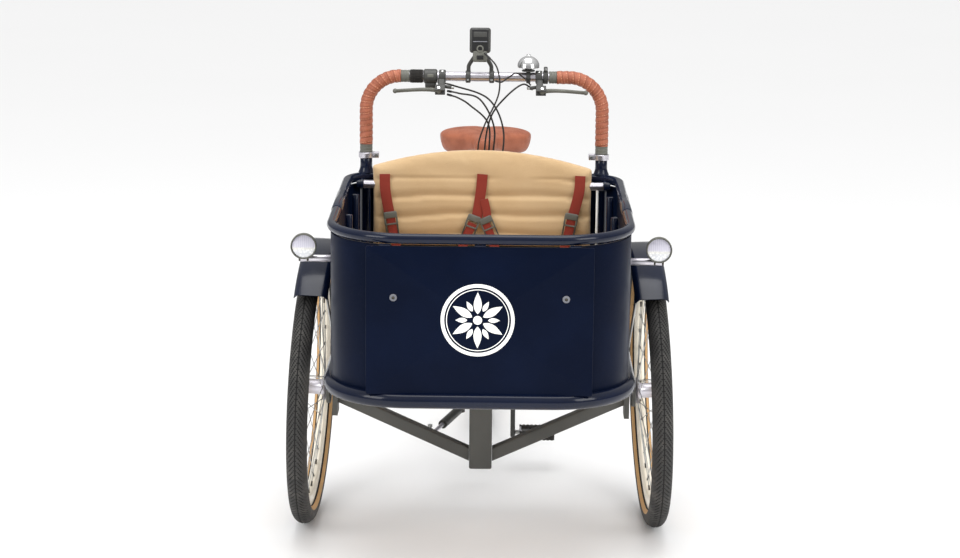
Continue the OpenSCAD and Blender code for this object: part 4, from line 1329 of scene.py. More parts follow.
    def adjusters(self) -> Thing:
        """Builds the strap adjusters: an oblong frame, a crossbar and long side rails.

        Returns:
            The finished object.
        """
        piece = Piece("harness_adjusters")
        for x, z, turn, rail in ((-0.2195, 0.72, -8, 0.04), (0.01, 0.71, -24, 0.036),
                (-0.024, 0.714, 20, 0.034), (0.209, 0.72, 10, 0.04)):
            tilt = turned(Y_AXIS, turn)
            at = np.array([x, PAD_Y - 0.0245, z])
            frame_line = rounded_path(np.array([(-0.0142, 0, -0.014), (0.0142, 0, -0.014),
                (0.0142, 0, 0.014), (-0.0142, 0, 0.014)]), [0.003] * 4, closed=True, steps=5)
            loop = sweep(frame_line, rounded_rect(0.004, 0.0042, 0.0012, 3), Y_AXIS, closed=True)
            piece.add(placed(loop, at, tilt), Look.GREY, loop=True)
            bar = placed(rounded_block((0.031, 0.005, 0.015), 0.0022), (0, -0.0006, 0.008))
            piece.add(placed(bar, at, tilt), Look.GREY)
            for s in SIDES:
                side = placed(rounded_block((0.003, 0.0042, rail), 0.0012),
                    (s * 0.0138, 0, -0.008 - rail / 2))
                piece.add(placed(side, at, tilt), Look.BLACK)
        return piece.make(self.body, "harness_buckles")

    def dress(self) -> None:
        """Builds the soft goods and what holds them."""
        self.backrest()
        self.cushion()
        self.cross_tube()
        self.harness()
        self.adjusters()


# Handlebar and controls


@dataclass
class Handlebar:
    """The silver bar with its leather, sleeves and clamps."""

    body: str = "front_carrier"
    bend: float = 0.08
    leather_r: float = 0.016
    wrap_pitch: float = 0.0145

    def bar(self) -> Thing:
        """Builds the bar: an upside-down U."""
        corners = [(-LEG_X, BACK_Y, 0.76), (-LEG_X, BACK_Y, BAR_Z), (LEG_X, BACK_Y, BAR_Z),
            (LEG_X, BACK_Y, 0.76)]
        line = rounded_path(np.array(corners), [0, self.bend, self.bend, 0], steps=24)
        piece = Piece("handlebar_tube").add(tube(line, BAR_R, Y_AXIS, sides=32), Look.ALUMINIUM)
        return piece.make(self.body, "handlebar")

    def wraps(self) -> Thing:
        """Builds the leather: a tube whose radius falls by a saw tooth of length / pitch + turn.

        Returns:
            The finished object.
        """
        piece = Piece("leather_wraps")
        for s, end in ((-1, -0.1986), (1, 0.1717)):
            corners = [(s * LEG_X, BACK_Y, 0.89), (s * LEG_X, BACK_Y, BAR_Z), (end, BACK_Y, BAR_Z)]
            line = even_path(rounded_path(np.array(corners), [0, self.bend, 0], steps=30), 0.001)
            a = np.linspace(0, 1, 44, endpoint=False)[None]
            length = 0.001 * np.arange(len(line))[:, None]
            tooth = (length / self.wrap_pitch + a) % 1
            radius = self.leather_r - 0.0016 * tooth ** 2 - 0.0005 * (1 - np.clip(tooth / 0.1, 0,
                1))
            radius = np.minimum(radius, self.leather_r - 0.0002)
            c = circle(1, 44)
            grid = sweep(line, radius[..., None] * c[None], Y_AXIS)
            piece.add(capped(grid), Look.WRAP)
        return piece.make(self.body, "bar_wraps", sharp=70)

    def sleeves(self) -> Thing:
        """Builds the grey end sleeves of the leather, each with two shallow grooves.

        Returns:
            The finished object.
        """
        piece = Piece("leather_end_sleeves")

        def sleeve(low: float, high: float, r: float) -> Grid:
            """Returns a sleeve's profile, its radius less by two narrow bells."""
            t = np.linspace(low + 0.0006, high - 0.0006, 15)
            u = (t - low) / (high - low)
            body = r - 0.0006 * (np.exp(-((u - 0.3) / 0.05) ** 2)
                + np.exp(-((u - 0.7) / 0.05) ** 2))
            ends = [(low, BAR_R), (low, r - 0.0008)], [(high, r - 0.0008), (high, BAR_R)]
            return np.concatenate([ends[0], np.stack([t, body], -1), ends[1]])

        for s in SIDES:
            piece.add(lathe(sleeve(0.8704, 0.8896, 0.015), (s * LEG_X, BACK_Y, 0), Z_AXIS, 32),
                Look.GREY)
        for low, high in ((-0.1984, -0.1782), (0.1532, 0.1715)):
            piece.add(lathe(sleeve(low, high, 0.0145), (0, BACK_Y, BAR_Z), X_AXIS, 32), Look.GREY)
        return piece.make(self.body, "bar_sleeves")

    def clamps(self) -> Thing:
        """Builds the silver clamps with their split ears and bolts.

        Returns:
            The finished object.
        """
        piece = Piece("leg_clamps")
        for s in SIDES:
            collar = ring(0.018, BAR_R, 0.8562, 0.8698, 0.001)
            piece.add(lathe(collar, (s * LEG_X, BACK_Y, 0), Z_AXIS, 40), Look.ALUMINIUM)
            for dy in (-1, 1):
                ear = placed(rounded_block((0.015, 0.0066, 0.0136), 0.0012),
                    (s * 0.258, BACK_Y + dy * 0.0044, 0.863))
                piece.add(ear, Look.ALUMINIUM)
            at = np.array([s * 0.2565, BACK_Y, 0.863])
            piece.add(rod(at - 0.0076 * Y_AXIS, at + 0.0076 * Y_AXIS, 0.0025, 0.0004),
                Look.DARK_STEEL)
            head = [(0, 0), (0, 0.0041), (0.0028, 0.0041), (0.0034, 0.0035), (0.0034, 0.0021),
                (0.0016, 0.002), (0.0016, 0)]
            piece.add(lathe(head, at - 0.0077 * Y_AXIS, -Y_AXIS, 24), Look.STEEL)
        return piece.make(self.body, "post_clamps")

    def dress(self) -> None:
        """Builds the bar and everything wound or clamped on it."""
        self.bar()
        self.wraps()
        self.sleeves()
        self.clamps()


@dataclass
class Controls:
    """Brake levers, gear grip, display, bell and their cables."""

    body: str = "front_carrier"
    drop: float = 0.042
    lean: float = -45.0
    display: Grid = field(default_factory=lambda: np.array([-0.011, BACK_Y - 0.008, 1.128]))
    bell_x: float = 0.104
    clip_y: float = BACK_Y + 0.03

    def on_bar(self, grid: Grid, degrees: float) -> Grid:
        """Returns a grid turned about the bar's own axis and moved on to the bar."""
        return placed(grid, (0, BACK_Y, BAR_Z), turned(X_AXIS, degrees))

    def sleeve(self, low: float, high: float, r: float, bevel: float = 0.0012) -> Grid:
        """Returns a bevelled sleeve along the bar."""
        return lathe(ring(r, BAR_R, low, high, bevel), (0, BACK_Y, BAR_Z), X_AXIS, 40)

    def lever_mounts(self) -> Thing:
        """Builds the lever clamps, the shifter housing and the thumb clamp.

        Returns:
            The finished object.
        """
        piece = Piece("lever_mounts")
        for x, s in zip(LEVER_X, SIDES):
            piece.add(self.sleeve(x - 0.008, x + 0.008, 0.0158, 0.0016), Look.BLACK)
            body = placed(rounded_block((0.016, 0.018, 0.022), 0.003), (x + s * 0.002, 0, -0.0235))
            piece.add(self.on_bar(body, self.lean), Look.BLACK)
            for dy in (-1, 1):
                cheek = placed(rounded_block((0.024, 0.003, 0.017), 0.0012),
                    (x + s * 0.005, dy * 0.008, 0.002 - self.drop))
                piece.add(self.on_bar(cheek, self.lean), Look.BLACK)
            a, b = np.array([x - s * 0.004, 0, -0.03]), np.array([x - s * 0.022, 0, -0.033])
            piece.add(self.on_bar(rod(a, b, 0.0042, 0.0008), self.lean), Look.BLACK)
            piece.add(self.on_bar(rod(b, b + (b - a) * 0.35, 0.0032), self.lean), Look.STEEL)
            bolt = rod((x, -0.0168, 0.003), (x, -0.012, 0.003), 0.003)
            piece.add(self.on_bar(bolt, self.lean), Look.STEEL)
        piece.add(self.sleeve(-0.1448, -0.112, 0.0172, 0.003), Look.BLACK)
        piece.block((0.026, 0.022, 0.014), 0.004, (-0.128, BACK_Y, BAR_Z - 0.021), Look.BLACK)
        window = placed(rounded_block((0.015, 0.0034, 0.008), 0.0014),
            (-0.128, BACK_Y - 0.0158, BAR_Z + 0.003))
        piece.add(window, Look.GREY)
        piece.add(self.sleeve(0.139, 0.151, 0.0158, 0.0016), Look.BLACK)
        piece.block((0.009, 0.012, 0.012), 0.002, (0.145, BACK_Y - 0.004, BAR_Z + 0.0195),
            Look.BLACK)
        piece.add(rod((0.145, BACK_Y - 0.012, BAR_Z + 0.021),
            (0.145, BACK_Y - 0.018, BAR_Z + 0.021), 0.003), Look.STEEL)
        return piece.make(self.body, "lever_clamps")

    def lever(self, x: float, s: int) -> Thing:
        """Builds a brake lever: an oval blade along a smooth line, with a ball and its pivot.

        Args:
            x: place of its clamp along the bar.
            s: -1 for the left, 1 for the right.

        Returns:
            The lever.
        """
        side = "left" if s < 0 else "right"
        px, pz = x + s * 0.008, -self.drop
        line = smooth_path(np.array([(px - s * 0.004, 0, pz - 0.001),
            (px + s * 0.02, 0, pz + 0.002), (px + s * 0.05, 0, pz + 0.0015),
            (px + s * 0.08, 0, pz - 0.001), (px + s * 0.1, 0, pz - 0.003)]), 6)
        t = np.linspace(0, 1, len(line))
        wide = 0.0056 - 0.001 * np.sin(np.pi * t) ** 2
        high = 0.0052 - 0.0018 * t
        oval = circle(1, 20)[None] * np.stack([wide, high], -1)[:, None]
        piece = Piece(side + "_lever_blade")
        piece.add(self.on_bar(capped(sweep(line, oval, Z_AXIS)), self.lean), Look.GREY)
        piece.add(self.on_bar(ball((px + s * 0.103, 0, pz - 0.003), 0.0058), self.lean), Look.GREY)
        boss = rod((px, -0.006, pz), (px, 0.006, pz), 0.006, 0.001, 24)
        pin = rod((px, -0.01, pz), (px, 0.01, pz), 0.0024, 0.0004)
        head = rod((px, -0.0112, pz), (px, -0.0098, pz), 0.0038, 0.0006)
        piece.add(self.on_bar(boss, self.lean), Look.GREY)
        piece.add(self.on_bar(pin, self.lean), Look.STEEL)
        piece.add(self.on_bar(head, self.lean), Look.CHROME)
        return piece.make(side + "_lever", side + "_brake_lever")

    def grip(self) -> Thing:
        """Builds the gear grip: a sleeve whose radius follows crossed sines, a diamond knurl."""
        x = np.linspace(-0.1774, -0.1456, 44)[:, None]
        a = np.linspace(0, FULL_TURN, 96, endpoint=False)[None]
        wave = np.sin(12 * a + x * 1100) * np.sin(12 * a - x * 1100)
        inside = np.clip(np.minimum(x + 0.1752, -0.1478 - x) / 0.001, 0, 1)
        r = 0.0152 + 0.001 * inside * np.clip(2.5 * wave, -1, 1)
        grid = np.stack([x + 0 * a, BACK_Y + r * np.cos(a), BAR_Z + r * np.sin(a)], -1)
        inner = lathe([(-0.1774, BAR_R + 0.0001), (-0.1456, BAR_R + 0.0001)], (0, BACK_Y, BAR_Z),
            X_AXIS, 96)
        grid = np.concatenate([inner[:1], grid, inner[-1:]])
        return Piece("gear_grip").add(grid, Look.RUBBER).make("shift_grip", "twist_grip", sharp=60)

    def display_case(self) -> Thing:
        """Builds the display's case with its inset back and dock, and the two splayed arms.

        Returns:
            The finished object.
        """
        piece = Piece("display_case")
        tilt = turned(X_AXIS, DISPLAY_TILT)

        def part(size: tuple, radius: float, at: tuple, look: Look) -> None:
            """Adds one rounded block in the case's own tilted frame."""
            piece.add(placed(placed(rounded_block(size, radius, 4), at), self.display, tilt), look)

        part((0.05, 0.015, 0.06), 0.0065, (0, 0, 0.0125), Look.BLACK)
        part((0.04, 0.003, 0.05), 0.0014, (0, -0.0073, 0.0125), Look.DARK)
        part((0.034, 0.0036, 0.0022), 0.0009, (0, -0.0078, 0.0085), Look.SCREW)
        part((0.032, 0.0034, 0.013), 0.0014, (0, -0.0078, 0.0255), Look.BLACK)
        part((0.034, 0.012, 0.026), 0.004, (0, -0.003, -0.026), Look.GREY)
        part((0.016, 0.003, 0.01), 0.0012, (0, -0.009, -0.029), Look.DARK)
        dock = lathe([(0, 0), (0, 0.0085), (0.003, 0.0085), (0.0036, 0.0076), (0.0036, 0.0056),
            (0.0016, 0.005), (0.0016, 0)], (0, -0.0068, -0.0085), -Y_AXIS, 32)
        piece.add(placed(dock, self.display, tilt), Look.GREY)
        part((0.043, 0.0016, 0.04), 0.0007, (0, 0.0072, 0.01), Look.DARK)
        for s in SIDES:
            x = self.display[0]
            line = smooth_path(np.array([(x + s * 0.027, BACK_Y, BAR_Z + 0.013),
                (x + s * 0.0265, BACK_Y - 0.002, BAR_Z + 0.026),
                (x + s * 0.02, BACK_Y - 0.005, BAR_Z + 0.038),
                (x + s * 0.014, BACK_Y - 0.008, 1.1)]), 8)
            piece.add(tube(line, 0.0048, Y_AXIS), Look.BLACK)
            piece.add(self.sleeve(x + s * 0.028 - 0.006, x + s * 0.028 + 0.006, 0.0148, 0.0014),
                Look.BLACK)
            head = rod((x + s * 0.028, BACK_Y - 0.014, BAR_Z - 0.006),
                (x + s * 0.028, BACK_Y - 0.0172, BAR_Z - 0.006), 0.0028)
            piece.add(head, Look.STEEL)
        return piece.make(self.body, "display_unit")

    def display_key(self) -> Thing:
        """Builds the display's push button."""
        block = placed(rounded_block((0.008, 0.009, 0.008), 0.0016), (0, 0, 0),
            turned(X_AXIS, DISPLAY_TILT))
        piece = Piece("display_push_key").add(placed(block,
            (self.display[0], BACK_Y + 0.002, 1.112)), Look.GREY)
        return piece.make("display_key", "display_button")

    def bell(self) -> Thing:
        """Builds the bell: a domed cup with a rolled lip, its nut, disc, pillar and bar ring.

        Returns:
            The finished object.
        """
        a = np.linspace(0.06, np.pi / 2, 16)
        outer = np.stack([0.0245 + 0.0262 * np.sin(a), 0.0268 * np.cos(a)], -1)
        inner = np.stack([0.0245 + 0.024 * np.sin(a[::-1]), 0.0246 * np.cos(a[::-1])], -1)
        lip = [(0.024, 0.025), (0.0234, 0.0262), (0.024, 0.027), (0.0252, 0.0269)]
        cup = np.concatenate([lip, outer, inner])
        at = (self.bell_x, BACK_Y, BAR_Z)
        piece = Piece("bell_cup").add(lathe(cup, at, Z_AXIS, 64), Look.CHROME, loop=True)
        nut = [(0.0495, 0), (0.0495, 0.0058), (0.053, 0.0058), (0.0546, 0.004), (0.0549, 0)]
        piece.add(lathe(nut, at, Z_AXIS, 32), Look.CHROME)
        piece.add(lathe([(0.013, 0), (0.013, 0.0039), (0.05, 0.0039), (0.05, 0)], at, Z_AXIS, 24),
            Look.STEEL)
        disc = [(0.014, 0), (0.014, 0.015), (0.0146, 0.0155), (0.017, 0.0155), (0.0176, 0.015),
            (0.0176, 0)]
        piece.add(lathe(disc, at, Z_AXIS, 40), Look.BLACK)
        piece.add(self.sleeve(0.099, 0.109, 0.0148), Look.BLACK)
        return piece.make(self.body, "bell")

    def bell_trigger(self) -> Thing:
        """Builds the bell's thumb lever with its knob."""
        at = np.array([self.bell_x, BACK_Y, BAR_Z])
        hub = [(0.0185, 0.0041), (0.0185, 0.0088), (0.0213, 0.0088), (0.0213, 0.0041)]
        piece = Piece("bell_thumb_piece").add(lathe(hub, at, Z_AXIS, 32), Look.BLACK, loop=True)
        arm = placed(rounded_block((0.008, 0.034, 0.0026), 0.0012), at + (0, 0.0245, 0.02))
        knob = placed(rounded_block((0.008, 0.007, 0.0028), 0.0013), at + (0, 0.0395, 0.02))
        piece.add(arm, Look.BLACK).add(knob, Look.BLACK)
        return piece.make("bell_thumb_lever", "bell_lever")

    def cables(self) -> Thing:
        """Builds the control cables and two leads, their collars and the two clips behind the box.

        Returns:
            The finished object.
        """
        b, c = BACK_Y, self.clip_y
        runs = [(0.0021, [(-0.088, b - 0.014, 1.02), (-0.06, b - 0.024, 1.016),
            (-0.01, b - 0.012, 1.0), (0.024, b + 0.008, 0.93), (0.02, c, 0.84), (0.018, c, 0.7),
            (0.018, c, 0.5), (0.018, c, 0.441)]),
            (0.0021, [(-0.112, b + 0.024, 1.036), (-0.07, b + 0.03, 1.026),
            (0.01, b + 0.034, 0.995), (0.046, c + 0.01, 0.92), (0.04, c + 0.004, 0.82),
            (0.03, c, 0.7), (0.03, c, 0.5), (0.03, c, 0.441)]),
            (0.0021, [(0.114, b - 0.016, 1.026), (0.09, b - 0.034, 1.04), (0.05, b - 0.044, 1.01),
            (0.016, b - 0.026, 0.96), (0.002, b + 0.004, 0.88), (0.006, c, 0.78), (0.006, c, 0.6),
            (0.006, c, 0.441)]), (0.0019,
            [(0.0, b - 0.026, 1.112), (0.03, b - 0.052, 1.08), (0.034, b - 0.058, 1.02),
            (0.0, b - 0.044, 0.94), (-0.014, b - 0.006, 0.88), (-0.006, c, 0.8), (-0.006, c, 0.6),
            (-0.006, c, 0.441)]), (0.0021,
            [(-0.088, b - 0.016, 1.012), (-0.062, b - 0.03, 1.006), (-0.033, b - 0.03, 0.988),
            (0.01, b - 0.01, 0.942), (0.012, c - 0.004, 0.86), (0.012, c, 0.74), (0.012, c, 0.6),
            (0.012, c, 0.441)]), (0.0018,
            [(0.026, b - 0.017, 1.046), (0.04, b - 0.02, 1.043), (0.056, b - 0.022, 1.054),
            (0.074, b - 0.022, 1.065), (0.092, b - 0.02, 1.055), (0.11, b - 0.018, 1.036)])]
        piece = Piece("cable_runs")
        for radius, knots in runs:
            line = smooth_path(np.array(knots), 10)
            piece.add(tube(line, radius, Y_AXIS, sides=14), Look.RUBBER)
            piece.add(rod(line[0], line[4], radius + 0.0007, 0.0004), Look.DARK)
        for z in (0.74, 0.56):
            piece.block((0.06, 0.024, 0.008), 0.0024, (0.012, b + 0.0215, z), Look.DARK)
        return piece.make(self.body, "control_cables")

    def dress(self) -> None:
        """Builds all the controls."""
        self.lever_mounts()
        for x, s in zip(LEVER_X, SIDES):
            self.lever(x, s)
        self.grip()
        self.display_case()
        self.display_key()
        self.bell()
        self.bell_trigger()
        self.cables()


# Lamps and mudguards


@dataclass
class FrontLamps:
    """The two round lamps on their silver arms."""

    body: str = "front_carrier"
    x: float = 0.393
    y: float = -0.663
    z: float = 0.737
    arm_y: float = -0.645
    arm_z: float = 0.706

    def lamps(self) -> Thing:
        """Builds the shells with their bezels and the domed glasses.

        Returns:
            The finished object.
        """
        piece = Piece("lamp_shells")
        shell = [(-0.024, 0), (-0.024, 0.011), (-0.0225, 0.0128), (-0.01, 0.024), (-0.0055, 0.027),
            (-0.005, 0.0284), (0.008, 0.0289), (0.0094, 0.0284), (0.0099, 0.0272), (0.0096, 0.0262),
            (0.008, 0.0257), (0.0035, 0.0256), (0.0035, 0)]
        r = np.linspace(0, 0.0254, 14)
        dome = np.stack([0.0062 + 0.0022 * (1 - (r / 0.0254) ** 2), r], -1)
        for s in SIDES:
            at = (s * self.x, self.y, self.z)
            piece.add(lathe(shell, at, -Y_AXIS, 64), Look.GREY)
            piece.add(lathe(dome, at, -Y_AXIS, 64), Look.GLASS)
            piece.block((0.012, 0.012, 0.012), 0.003, (s * self.x, -0.645, 0.7165), Look.BLACK)
            for dx in (-0.009, 0.009):
                piece.add(rod((s * self.x + dx, self.y - 0.004, 0.71),
                    (s * self.x + dx, self.y - 0.004, 0.7035), 0.0022), Look.DARK_STEEL)
        return piece.make(self.body, "front_lamps", sharp=30)

    def arms(self) -> Thing:
        """Builds the polished arms, their wall flanges and the studs."""
        piece = Piece("lamp_arm_bars")
        for s in SIDES:
            piece.add(rod((s * 0.3258, self.arm_y, self.arm_z),
                (s * 0.4015, self.arm_y, self.arm_z), 0.008, 0.002, 28), Look.ALUMINIUM)
            flange = [(0, 0), (0, 0.0158), (0.003, 0.0158), (0.0052, 0.014), (0.0058, 0.008),
                (0.0058, 0)]
            piece.add(lathe(flange, (s * 0.3258, self.arm_y, self.arm_z), s * X_AXIS, 40),
                Look.ALUMINIUM)
            piece.add(rod((s * self.x, self.arm_y, 0.711), (s * self.x, self.arm_y, 0.7195), 0.004),
                Look.STEEL)
        return piece.make(self.body, "lamp_arms")

    def dress(self) -> None:
        """Builds the lamps and their arms."""
        self.lamps()
        self.arms()


@dataclass
class Mudguard:
    """A pressed mudguard: a channel carried round part of its wheel, and its stays."""

    name: str
    body: str
    at: Grid
    turn: Grid
    shift: float
    half: float
    radius: float
    start: float
    stop: float
    stays: list

    def shell(self, piece: Piece) -> None:
        """Adds the channel: its crown is flat, its shoulders slope and its lips turn down; its
        underside is near-black, painted shade.

        The section is the same at every angle; 0 degrees is down, 90 back and 180 up.

        Args:
            piece: the piece to add to.
        """
        h, r = self.half, self.radius
        outer = np.array([(-h, r - 0.0135), (-h + 0.001, r - 0.0105), (-h + 0.008, r - 0.0012),
            (-h + 0.012, r), (0, r), (h - 0.012, r), (h - 0.008, r - 0.0012),
            (h - 0.001, r - 0.0105), (h, r - 0.0135)])
        inner = np.array([(h - 0.0019, r - 0.0137), (h - 0.0029, r - 0.0112),
            (h - 0.0092, r - 0.003), (h - 0.0124, r - 0.0019), (0, r - 0.0019),
            (-h + 0.0124, r - 0.0019), (-h + 0.0092, r - 0.003), (-h + 0.0029, r - 0.0112),
            (-h + 0.0019, r - 0.0137)])
        a = np.radians(np.linspace(self.start, self.stop, int(self.stop - self.start) + 1))[:, None]

        def carried(line: Grid) -> Grid:
            """Returns a section carried round the axle."""
            return np.stack([line[None, :, 0] + self.shift + 0 * a, line[None, :, 1] * np.sin(a),
                -line[None, :, 1] * np.cos(a)], -1)

        both = placed(carried(np.concatenate([outer, inner])), self.at, self.turn)
        count = len(outer)
        piece.add(both[:, :count], Look.FRAME, wrap=False)
        # Painted shade: the underside takes near-black instead of the navy.
        piece.add(both[:, count - 1:], Look.DARK, wrap=False)
        piece.add(both[:, [-1, 0]], Look.FRAME, wrap=False)
        for end in (0, -1):
            edge = np.stack([both[end, :count], both[end, count:][::-1]])
            piece.add(edge, Look.FRAME, wrap=False)

    def tongue(self, piece: Piece) -> None:
        """Adds the bent steel tongue under the front edge: a strip that dips in and comes back."""
        t = np.linspace(0, 1, 22)
        a = np.radians(self.stop - 0.5 - 26 * t)
        r = self.radius - 0.0045 - 0.008 * np.sin(np.pi * np.clip(t * 1.15, 0, 1)) ** 1.3
        line = np.stack([0 * t + self.shift, r * np.sin(a), -r * np.cos(a)], -1)
        strip = np.stack([line + dx * X_AXIS for dx in (-0.0095, 0.0095)], 1)
        out = np.stack([0 * t, np.sin(a), -np.cos(a)], -1)[:, None]
        section = np.concatenate([strip, strip[:, ::-1] + 0.0018 * out], 1)
        piece.add(capped(placed(section, self.at, self.turn)), Look.FRAME)

    def dress(self) -> Thing:
        """Builds the mudguard."""
        piece = Piece(self.name + "_shell")
        self.shell(piece)
        self.tongue(piece)
        for a, b in self.stays:
            piece.add(rod(a, b, 0.003, 0.0004, 14), Look.STEEL)
        return piece.make(self.body, self.name)


# Steering gear


@dataclass
class SteeringGear:
    """The square post, its kingpin plates, the two rising struts and a wiring hose."""

    body: str = "front_carrier"
    post: tuple[float, float, float] = (0.054, 0.05, 0.316)
    strut: float = 0.03

    def head(self) -> Thing:
        """Builds the post with rounded edges and the two plates that hold the kingpin."""
        piece = Piece("steering_post")
        piece.block(self.post, 0.0045, (0, HUB_Y, 0.29), Look.SATIN, 4)
        cap = placed(rounded_block((0.0555, 0.0515, 0.012), 0.0015), (0, HUB_Y, 0.4405))
        piece.add(cap, Look.SATIN)
        for z in (0.15, 0.306):
            arm = placed(rounded_block((0.05, 0.04, 0.0098), 0.0015),
                (0, (HUB_Y + 0.025 + KING_Y) / 2, z))
            eye = ring(0.0252, 0.0101, z - 0.0049, z + 0.0049, 0.0012)
            piece.add(arm, Look.SATIN)
            piece.add(lathe(eye, (0, KING_Y, 0), Z_AXIS, 48), Look.SATIN, loop=True)
        return piece.make(self.body, "steering_head")

    def struts(self) -> Thing:
        """Builds the struts: an upright rounded square carried along a rising line, ends plumb.

        Returns:
            The finished object.
        """
        piece = Piece("rising_struts")
        slope = 0.168 / 0.372
        tall = self.strut / math.cos(math.atan(slope))
        section = rounded_rect(self.strut, tall, 0.0045, 4)
        for s in SIDES:
            x = np.array([0.0276, 0.03, 0.1, 0.2, 0.3, 0.3518])
            y = HUB_Y + section[None, :, 0] + 0 * x[:, None]
            z = 0.153 + slope * x[:, None] + section[None, :, 1]
            grid = np.stack([s * x[:, None] + 0 * y, y, z], -1)
            piece.add(capped(grid), Look.SATIN)
        stud = (-0.122, -0.265)
        piece.block((0.014, 0.028, 0.008), 0.0015, (stud[0], -0.276, 0.21), Look.BLACK)
        profile = [(0.2042, 0), (0.2042, 0.0046), (0.218, 0.0046), (0.2186, 0.0066),
            (0.2238, 0.0066), (0.2238, 0)]
        piece.add(lathe(profile, (*stud, 0), Z_AXIS, 6), Look.STEEL)
        return piece.make(self.body, "axle_struts")

    def hose(self) -> Thing:
        """Builds the short wiring hose that loops down beside the post, and its end fitting."""
        knots = [(-0.092, HUB_Y + 0.034, 0.452), (-0.086, HUB_Y + 0.036, 0.43),
            (-0.07, HUB_Y + 0.036, 0.407), (-0.05, HUB_Y + 0.034, 0.396),
            (-0.036, HUB_Y + 0.03, 0.402), (-0.03, HUB_Y + 0.029, 0.42)]
        line = smooth_path(np.array(knots), 8)
        piece = Piece("wiring_hose").add(tube(line, 0.0062, Y_AXIS), Look.RUBBER)
        piece.add(rod(line[-1], line[-1] + (0.0005, 0, 0.018), 0.0075, 0.0012), Look.STEEL)
        return piece.make(self.body)

    def dress(self) -> None:
        """Builds the steering gear."""
        self.head()
        self.struts()
        self.hose()


# Drive, saddle and rear end


@dataclass
class Drive:
    """The cranks and pedals."""

    arm_x: float = 0.079
    length: float = 0.17
    teeth: int = 38

    def cranks(self) -> Thing:
        """Builds the axle, the two tapering arms and the toothed chainring with its spider.

        Returns:
            The finished object.
        """
        piece = Piece("crank_arms")
        piece.add(rod(CRANK - 0.078 * X_AXIS, CRANK + 0.078 * X_AXIS, 0.0099, 0.001, 28),
            Look.STEEL)
        t = np.linspace(0, np.pi, 14)
        for s in SIDES:
            low = np.stack([0.0165 * np.cos(t), -0.0165 * np.sin(t)], -1)[::-1]
            high = np.stack([0.0125 * np.cos(t), self.length + 0.0125 * np.sin(t)], -1)
            waist = np.array([(0.0105, 0.045), (0.01, 0.11)])
            outline = np.concatenate([low, waist, high, waist[::-1] * (-1, 1)])
            turn = turned(X_AXIS, 180 if s > 0 else 0) @ turned(Z_AXIS, 90)
            piece.add(placed(slab(outline, 0.012, 0.0022), CRANK + s * self.arm_x * X_AXIS, turn),
                Look.BLACK)
            cap = [(0, 0), (0, 0.0092), (0.0018, 0.0085), (0.0022, 0.006), (0.0022, 0)]
            piece.add(lathe(cap, CRANK + s * (self.arm_x + 0.0058) * X_AXIS, s * X_AXIS, 32),
                Look.DARK)
        a = np.linspace(0, FULL_TURN, self.teeth * 8, endpoint=False)
        r = 0.0796 + 0.0022 * np.clip(1.6 * np.cos(self.teeth * a), -1, 1)
        inner = 0.066 + 0 * a
        rows = np.stack([inner, r, r, inner])
        x = 0.05 + np.array([-0.0015, -0.0013, 0.0013, 0.0015])[:, None]
        grid = np.stack([x + 0 * rows, CRANK[1] + rows * np.cos(a), CRANK[2] + rows * np.sin(a)],
            -1)
        piece.add(grid, Look.DARK_STEEL, loop=True)
        for k in range(5):
            arm = placed(rounded_block((0.004, 0.014, 0.064), 0.0018), (0, 0, 0.04))
            piece.add(placed(placed(arm, (0, 0, 0), turned(X_AXIS, 72 * k)), CRANK + 0.05 * X_AXIS),
                Look.ALUMINIUM)
            bolt = lathe([(0, 0), (0, 0.005), (0.0024, 0.0042), (0.0024, 0)], (0.0022, 0, 0.069),
                X_AXIS, 16)
            piece.add(placed(bolt, CRANK + 0.05 * X_AXIS, turned(X_AXIS, 72 * k)), Look.STEEL)
        boss = [(0.047, 0.01), (0.047, 0.021), (0.053, 0.021), (0.072, 0.0155), (0.072, 0.01)]
        piece.add(lathe(boss, CRANK * (0, 1, 1), X_AXIS, 40), Look.ALUMINIUM, loop=True)
        return piece.make("cranks", "crankset")

    def pedal(self, s: int) -> Thing:
        """Builds a pedal: its spindle, two ribbed rubber treads and two metal ends.

        Args:
            s: -1 for the left, 1 for the right.

        Returns:
            The finished object.
        """
        side = "left" if s < 0 else "right"
        at = np.array([s * (self.arm_x + 0.062), CRANK[1], CRANK[2] - s * self.length])
        piece = Piece(side + "_pedal_cage")
        start = np.array([s * (self.arm_x - 0.006), at[1], at[2]])
        piece.add(rod(start, start + s * 0.116 * X_AXIS, 0.0059, 0.001), Look.STEEL)
        barrel = [(-0.038, 0.0062), (-0.038, 0.009), (0.0, 0.0078), (0.038, 0.009), (0.038, 0.0062)]
        piece.add(lathe(barrel, at, X_AXIS, 28), Look.BLACK, loop=True)
        x = np.linspace(-0.0445, 0.0445, 90)[:, None]
        section = rounded_rect(0.013, 0.0228, 0.003, 3)
        grow = 1 - 0.09 * (np.sin(x * 620) > 0.2)
        for dy in (-1, 1):
            grid = np.stack([x + 0 * section[None, :, 0], section[None, :, 0] * grow,
                section[None, :, 1] * grow], -1)
            piece.add(capped(grid) + at + dy * 0.032 * Y_AXIS, Look.RUBBER)
        for dx in (-1, 1):
            plate = placed(rounded_block((0.005, 0.05, 0.019), 0.0016), at + dx * 0.042 * X_AXIS)
            piece.add(plate, Look.ALUMINIUM)
        return piece.make(side + "_pedal_body", side + "_pedal")

    def dress(self) -> None:
        """Builds the cranks and both pedals."""
        self.cranks()
        self.pedal(-1)
        self.pedal(1)


